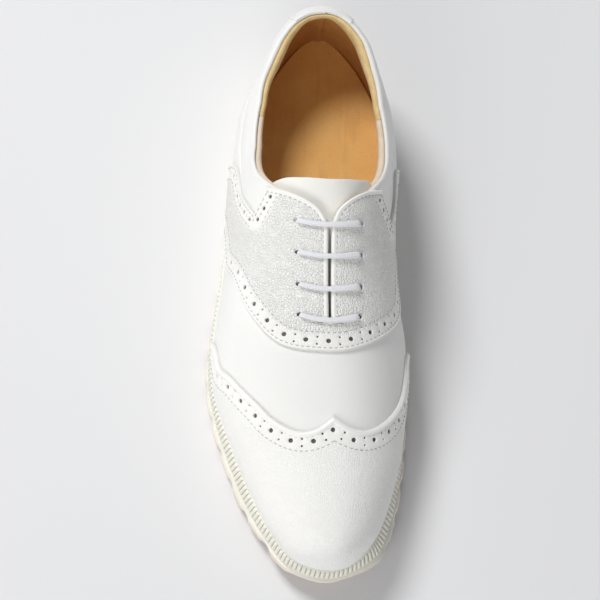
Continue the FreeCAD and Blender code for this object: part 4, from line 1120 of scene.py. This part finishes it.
# back strap over the quarters at the heel
STRAP_HALF = 17.0
ways = np.linspace(-STRAP_HALF, STRAP_HALF, 40)
strap_drop = rim_drop(STRAP_HALF - np.abs(ways), 0.75)
rows = [(offset + (0.85 if depth < 3 else 0.4) - strap_drop, depth - 0.45, 0.0) for offset, depth in ROLL]
backs = [(offset * 0.5 - 0.2, depth + 0.5, 0.0) for offset, depth in ROLL]
for depth in (2.2, 3.5, 5.0, 7.0, 9.0, 12.0, 15.0, 18.0, 22.0, 26.0, 30.0, 34.0, 37.0, 39.0, 39.6, 40.0):
    lift = swell(depth)
    end_drop = 0.7 if depth > 39.8 else (0.25 if depth > 39.3 else 0.0)
    rows.append((1.05 + lift - end_drop - strap_drop, depth, 0.0))
    backs.append((0.05 + lift, depth, 0.0))
edge = np.tile(np.minimum(ways + STRAP_HALF, STRAP_HALF - ways) + 0.3, (len(rows), 1))
sheets("back_strap_leather", ways, rows, backs, SMOOTH, "smooth_leather", ["back_strap"],
       attributes={"edge": edge, "grain": np.ones_like(edge)})
for side in (-1, 1):
    for index, inset in enumerate((1.4, 3.0)):
        way = side * (STRAP_HALF - inset)
        high = float(topline(float(np.interp(abs(way), REAR_A, REAR_W))))
        line = np.stack([np.full(30, way), np.linspace(high - 4.0, high - 38.0, 30)], 1)
        stitch_line(f"strap_stitches_{'m' if side > 0 else 'l'}_{index}", line, 1.8, rear)

# padded suede collar lining round the heel, cream lining in front of it
COLLAR = [(-2.4, 3.3), (-2.5, 1.8), (-2.9, 1.0), (-3.6, 0.8), (-4.4, 1.1), (-5.1, 1.9), (-5.8, 3.4),
          (-6.2, 6.2), (-6.3, 9.8), (-6.0, 12.4), (-5.4, 13.4)]
FRONT_COLLAR = [-1.9, -2.0, -2.5, -3.3, -4.2, -5.0, -5.7, -6.1, -6.2, -6.0, -5.5]


def lining_rows(ways, lift=0.0):
    back = rearward(ways)
    rows, backs = [], []
    for (offset, depth), front_offset in zip(COLLAR, FRONT_COLLAR):
        place = offset * back + front_offset * (1 - back)
        rows.append((place - lift, depth + lift * 0.4, 0.0))
        backs.append((np.maximum(narrowed(-2.55, ways), place + 0.4) - lift * 0.2, depth + 0.6, 0.0))
    return rows, backs


seam = round_way(78.0)
ways = np.linspace(-seam, seam, 130)
collar = sheets("collar_padding_suede", ways, *lining_rows(ways), SUEDE, "collar_suede",
                ["collar_lining", "collar_foam"], True)
for label, side in (("lateral", -1), ("medial", 1)):
    ways = side * np.linspace(seam + 0.25, round_way(24.0), 60)
    sheets(f"collar_front_{label}", ways, *lining_rows(ways, 0.15), FRONT_LINING, "cream_lining",
           [f"collar_facing_{label}"], side > 0)


def heel_rows(start, depth, count):
    """Rows of the heel lining, drawing out towards the feather."""
    return [(start + 1.9 * share ** 0.7, depth, share) for share in np.linspace(0, 1, count)]


# lining below the collar: tan leather round the heel, with a strip over its seam; both take the darker tan,
# painted shade inside the heel
ways = np.linspace(-round_way(38.0), round_way(38.0), 140)
sheets("heel_lining_leather", ways, heel_rows(-5.2, 12.0, 22), heel_rows(-4.2, 12.0, 22), SHADED_HEEL_TAN,
       "tan_leather", ["heel_lining"], True)
ways = np.linspace(-2.6, 2.6, 9)
raised = 0.55 * (1 - (ways / 2.6) ** 4)
rows = [(offset - raised, depth, share) for offset, depth, share in heel_rows(-5.2, 12.4, 14)]
sheets("heel_seam_strip", ways, rows, heel_rows(-5.0, 12.4, 14), SHADED_HEEL_TAN, "tan_leather", flip=True)


# linings of the quarters under the saddle
def opening_edge(side, *places):
    """Pattern points a little below the opening's edge."""
    return [from_wall(side, y, float(np.interp(y, TOPLINE[:, 0], TOPLINE[:, 1])) - 3.6) for y in places]


lining_lateral = {
    "toe": [from_feather(-1, -39.0), *plan_points((-30.0, -39.0), (4.2, -39.0))],
    "throat": plan_points((4.2, -39.0), (4.4, -31.0), (2.8, 8.0), (-2.5, 15.0), (-12.0, 22.0), (-22.0, 27.5)),
    "opening": [from_plan(-22.0, 27.5), *opening_edge(-1, 38.0, 44.0, 51.0, 58.0)],
    "back": [*opening_edge(-1, 58.0), from_wall(-1, 58.0, 50.0), from_feather(-1, 58.0)],
    "sole": feather_line(-1, 58.0, -39.0),
}
lining_medial = {
    "toe": [*plan_points((8.4, -39.0), (34.0, -39.0)), from_feather(1, -39.0)],
    "sole": feather_line(1, -39.0, 58.0),
    "back": [from_feather(1, 58.0), from_wall(1, 58.0, 50.0), *opening_edge(1, 58.0)],
    "opening": [*opening_edge(1, 58.0, 51.0, 44.0, 38.0), from_plan(27.0, 29.0)],
    "throat": plan_points((27.0, 29.0), (17.5, 23.0), (9.8, 15.5), (6.4, 8.0), (8.0, -31.0), (8.4, -39.0)),
}
for label, sides in (("lateral", lining_lateral), ("medial", lining_medial)):
    pattern_piece(f"quarter_lining_{label}", sides, [], -2.0, -3.0, CREAM, (0.8,),
                  [f"lining_{label}"], spacing=3.0)

# ---------------------------------------------------------------- insole cover
sock_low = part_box("sock")[0]
w = np.linspace(angle_at(sock_low.y / MM + 1.0), math.pi - 0.03, 100)
lateral, medial = wall(w, -1.0, 38.0, -3.8), wall(w, 1.0, 38.0, -3.8)
grid, under = [], []
rims = [0.955, 0.97, 0.985, 1.0]
for side in np.concatenate([-np.array(rims[::-1]), np.linspace(-0.93, 0.93, 33), rims]):
    line = lateral * (1 - side) / 2 + medial * (1 + side) / 2
    node_top = np.interp(line[:, 1], [-120, -75, -42, 0, 40, 80, 115, 140],
                         [27.8, 26.8, 26.8, 28.8, 32.1, 34.9, 35.9, 36.0])
    line[:, 2] = node_top + 0.5 * abs(side) ** 5 - 1.4 * max(0.0, (abs(side) - 0.955) / 0.045) ** 2
    grid.append(line)
    under.append(line - [0, 0, 1.2])
shell("insole_cover", np.array(grid), np.array(under), TAN, replaces=["sock"], flip=True)

# ---------------------------------------------------------------- tongue
tongue_line = curve(plan_points(
    (-12.0, -37.0), (-14.5, -10.0), (-19.5, 8.0), (-26.0, 21.0), (-29.0, 29.5), (-27.0, 34.0), (-20.0, 34.4),
    (-10.0, 32.6), (5.0, 31.2), (18.0, 32.8), (27.5, 35.8), (33.0, 35.0), (34.0, 28.0), (31.0, 12.0),
    (27.0, -10.0), (26.0, -37.0)))
tongue_sides = {"rim": tongue_line[::-1], "base": plan_points((-12.0, -37.0), (26.0, -37.0))}


def tongue_level(base):
    gutter = 3.2 * np.exp(-((base[:, 0] - 5.3) / 2.4) ** 2)
    return -3.4 - (1.2 + gutter) * np.clip((8 - base[:, 1]) / 12, 0, 1)


def tongue_top(away, base):
    return tongue_level(base) - rim_drop(away["rim"], 0.9)


def tongue_low(away, base):
    return tongue_level(base) - 1.9 - 3.2 * np.clip((away["rim"] - 1.5) / 5, 0, 1)


tongue = pattern_piece("tongue_leather", tongue_sides, [], tongue_top, tongue_low, TONGUE,
                       (0.2, 0.5, 0.9, 1.6), ["tongue", "tongue_foam", "tongue_lining"], body=None)
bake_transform(tongue)

# ---------------------------------------------------------------- lace
def lace_sections(points, widths, normals):
    """Sections of a flat woven lace: a band with rounded edges swept along points."""
    ahead = unit(np.gradient(np.array(points), axis=0))
    turn = np.arange(14) * 2 * math.pi / 14
    flatness = np.abs(np.cos(turn)) ** 0.75 * np.sign(np.cos(turn))
    sections = []
    for point, direction, width, up in zip(points, ahead, widths, normals):
        across = np.cross(direction, up)
        across /= np.linalg.norm(across)
        normal = np.cross(across, direction)
        sections.append(point + np.outer(flatness * width / 2, across)
                        + np.outer(np.sin(turn) * LACE_THICK / 2, normal))
    return np.array(sections)


LACE_THICK, BAR_STEPS = 1.75, 32
vertices, faces = [], []
for lateral, medial in zip(EYELETS_LATERAL, EYELETS_MEDIAL):
    line, normals, widths = [], [], []
    for k in range(BAR_STEPS + 1):
        share = k / BAR_STEPS
        x = lateral[0] + (medial[0] - lateral[0]) * share
        y = lateral[1] + (medial[1] - lateral[1]) * share - 3.4 * math.sin(math.pi * share) ** 0.8
        edge = min(share, 1 - share)
        offset = 2.5 if edge > 0.055 else 2.5 - 7.5 * (1 - edge / 0.055) ** 2
        here = from_plan(x, y)[None]
        line.append(front(here, offset)[0])
        normals.append(front(here, 3.0)[0] - front(here, 0.0)[0])
        widths.append(2.1 + 0.6 * min(1, edge / 0.1) + 2.6 * max(0.0, share - 0.55) * min(1, edge / 0.08))
    start, (count, sides) = len(vertices), (BAR_STEPS + 1, 14)
    vertices += list(lace_sections(line, widths, normals).reshape(-1, 3))
    faces += band_faces(count, sides, start, True)
    faces += [tuple(range(start, start + sides)), tuple(range(len(vertices) - sides, len(vertices)))[::-1]]
finish_mesh("lace_bars", vertices, faces, LACE, ["lace"], 60)

# ---------------------------------------------------------------- floor, light and camera
floor_mesh = bpy.data.meshes.new("floor")
floor_mesh.from_pydata([(-6, -6, 0), (6, -6, 0), (6, 6, 0), (-6, 6, 0)], [], [(0, 1, 2, 3)])
floor = bpy.data.objects.new("floor", floor_mesh)
scene.collection.objects.link(floor)
paper = Nodes("studio_paper")
floor_mesh.materials.append(paper.done((0.82, 0.82, 0.825), 0.9))


def area_light(name, place, aim, size, power):
    data = bpy.data.lights.new(name, "AREA")
    data.shape = "DISK"
    data.size = size
    data.energy = power
    lamp = bpy.data.objects.new(name, data)
    lamp.location = place
    lamp.rotation_mode = "QUATERNION"
    lamp.rotation_quaternion = (Vector(aim) - Vector(place)).to_track_quat("-Z", "Y")
    scene.collection.objects.link(lamp)


area_light("key", (-0.75, 0.86, 1.68), (0, 0, 0.04), 0.7, 26)
area_light("toe_fill", (-0.7, -1.5, 0.8), (0, 0, 0.04), 1.2, 13.5)
# sky: brighter near the horizon than overhead
scene.world = bpy.data.worlds.new("studio")
sky = Nodes(scene.world, "Background", "Generated")
shade = sky.add("ValToRGB", "Color", {"Fac": sky.add("SeparateXYZ", "Z", {"Vector": sky.place})})
for stop, position, colour in zip(shade.node.color_ramp.elements, (0.25, 0.85),
                                  ((0.52, 0.525, 0.54, 1), (0.17, 0.172, 0.18, 1))):
    stop.position, stop.color = position, colour
sky.put(sky.shader.inputs["Color"], shade)
sky.put(sky.shader.inputs["Strength"], 0.94)
scene.view_settings.view_transform = "Standard"

back = Vector((-math.tan(math.radians(4.5)), -math.tan(math.radians(20.0)), 1.0)).normalized()
up = (Vector((0, 1, 0)) - back * back.y).normalized()
right = up.cross(back)
camera_data = bpy.data.cameras.new("camera")
camera_data.sensor_width = 36.0
camera_data.lens = 154.2
camera = bpy.data.objects.new("camera", camera_data)
aim = Vector((0, 0, 0.040)) - right * 0.0056 - up * 0.0081
camera.matrix_world = Matrix.Translation(aim + back * 1.30) @ Matrix((right, up, back)).transposed().to_4x4()
scene.collection.objects.link(camera)
scene.camera = camera
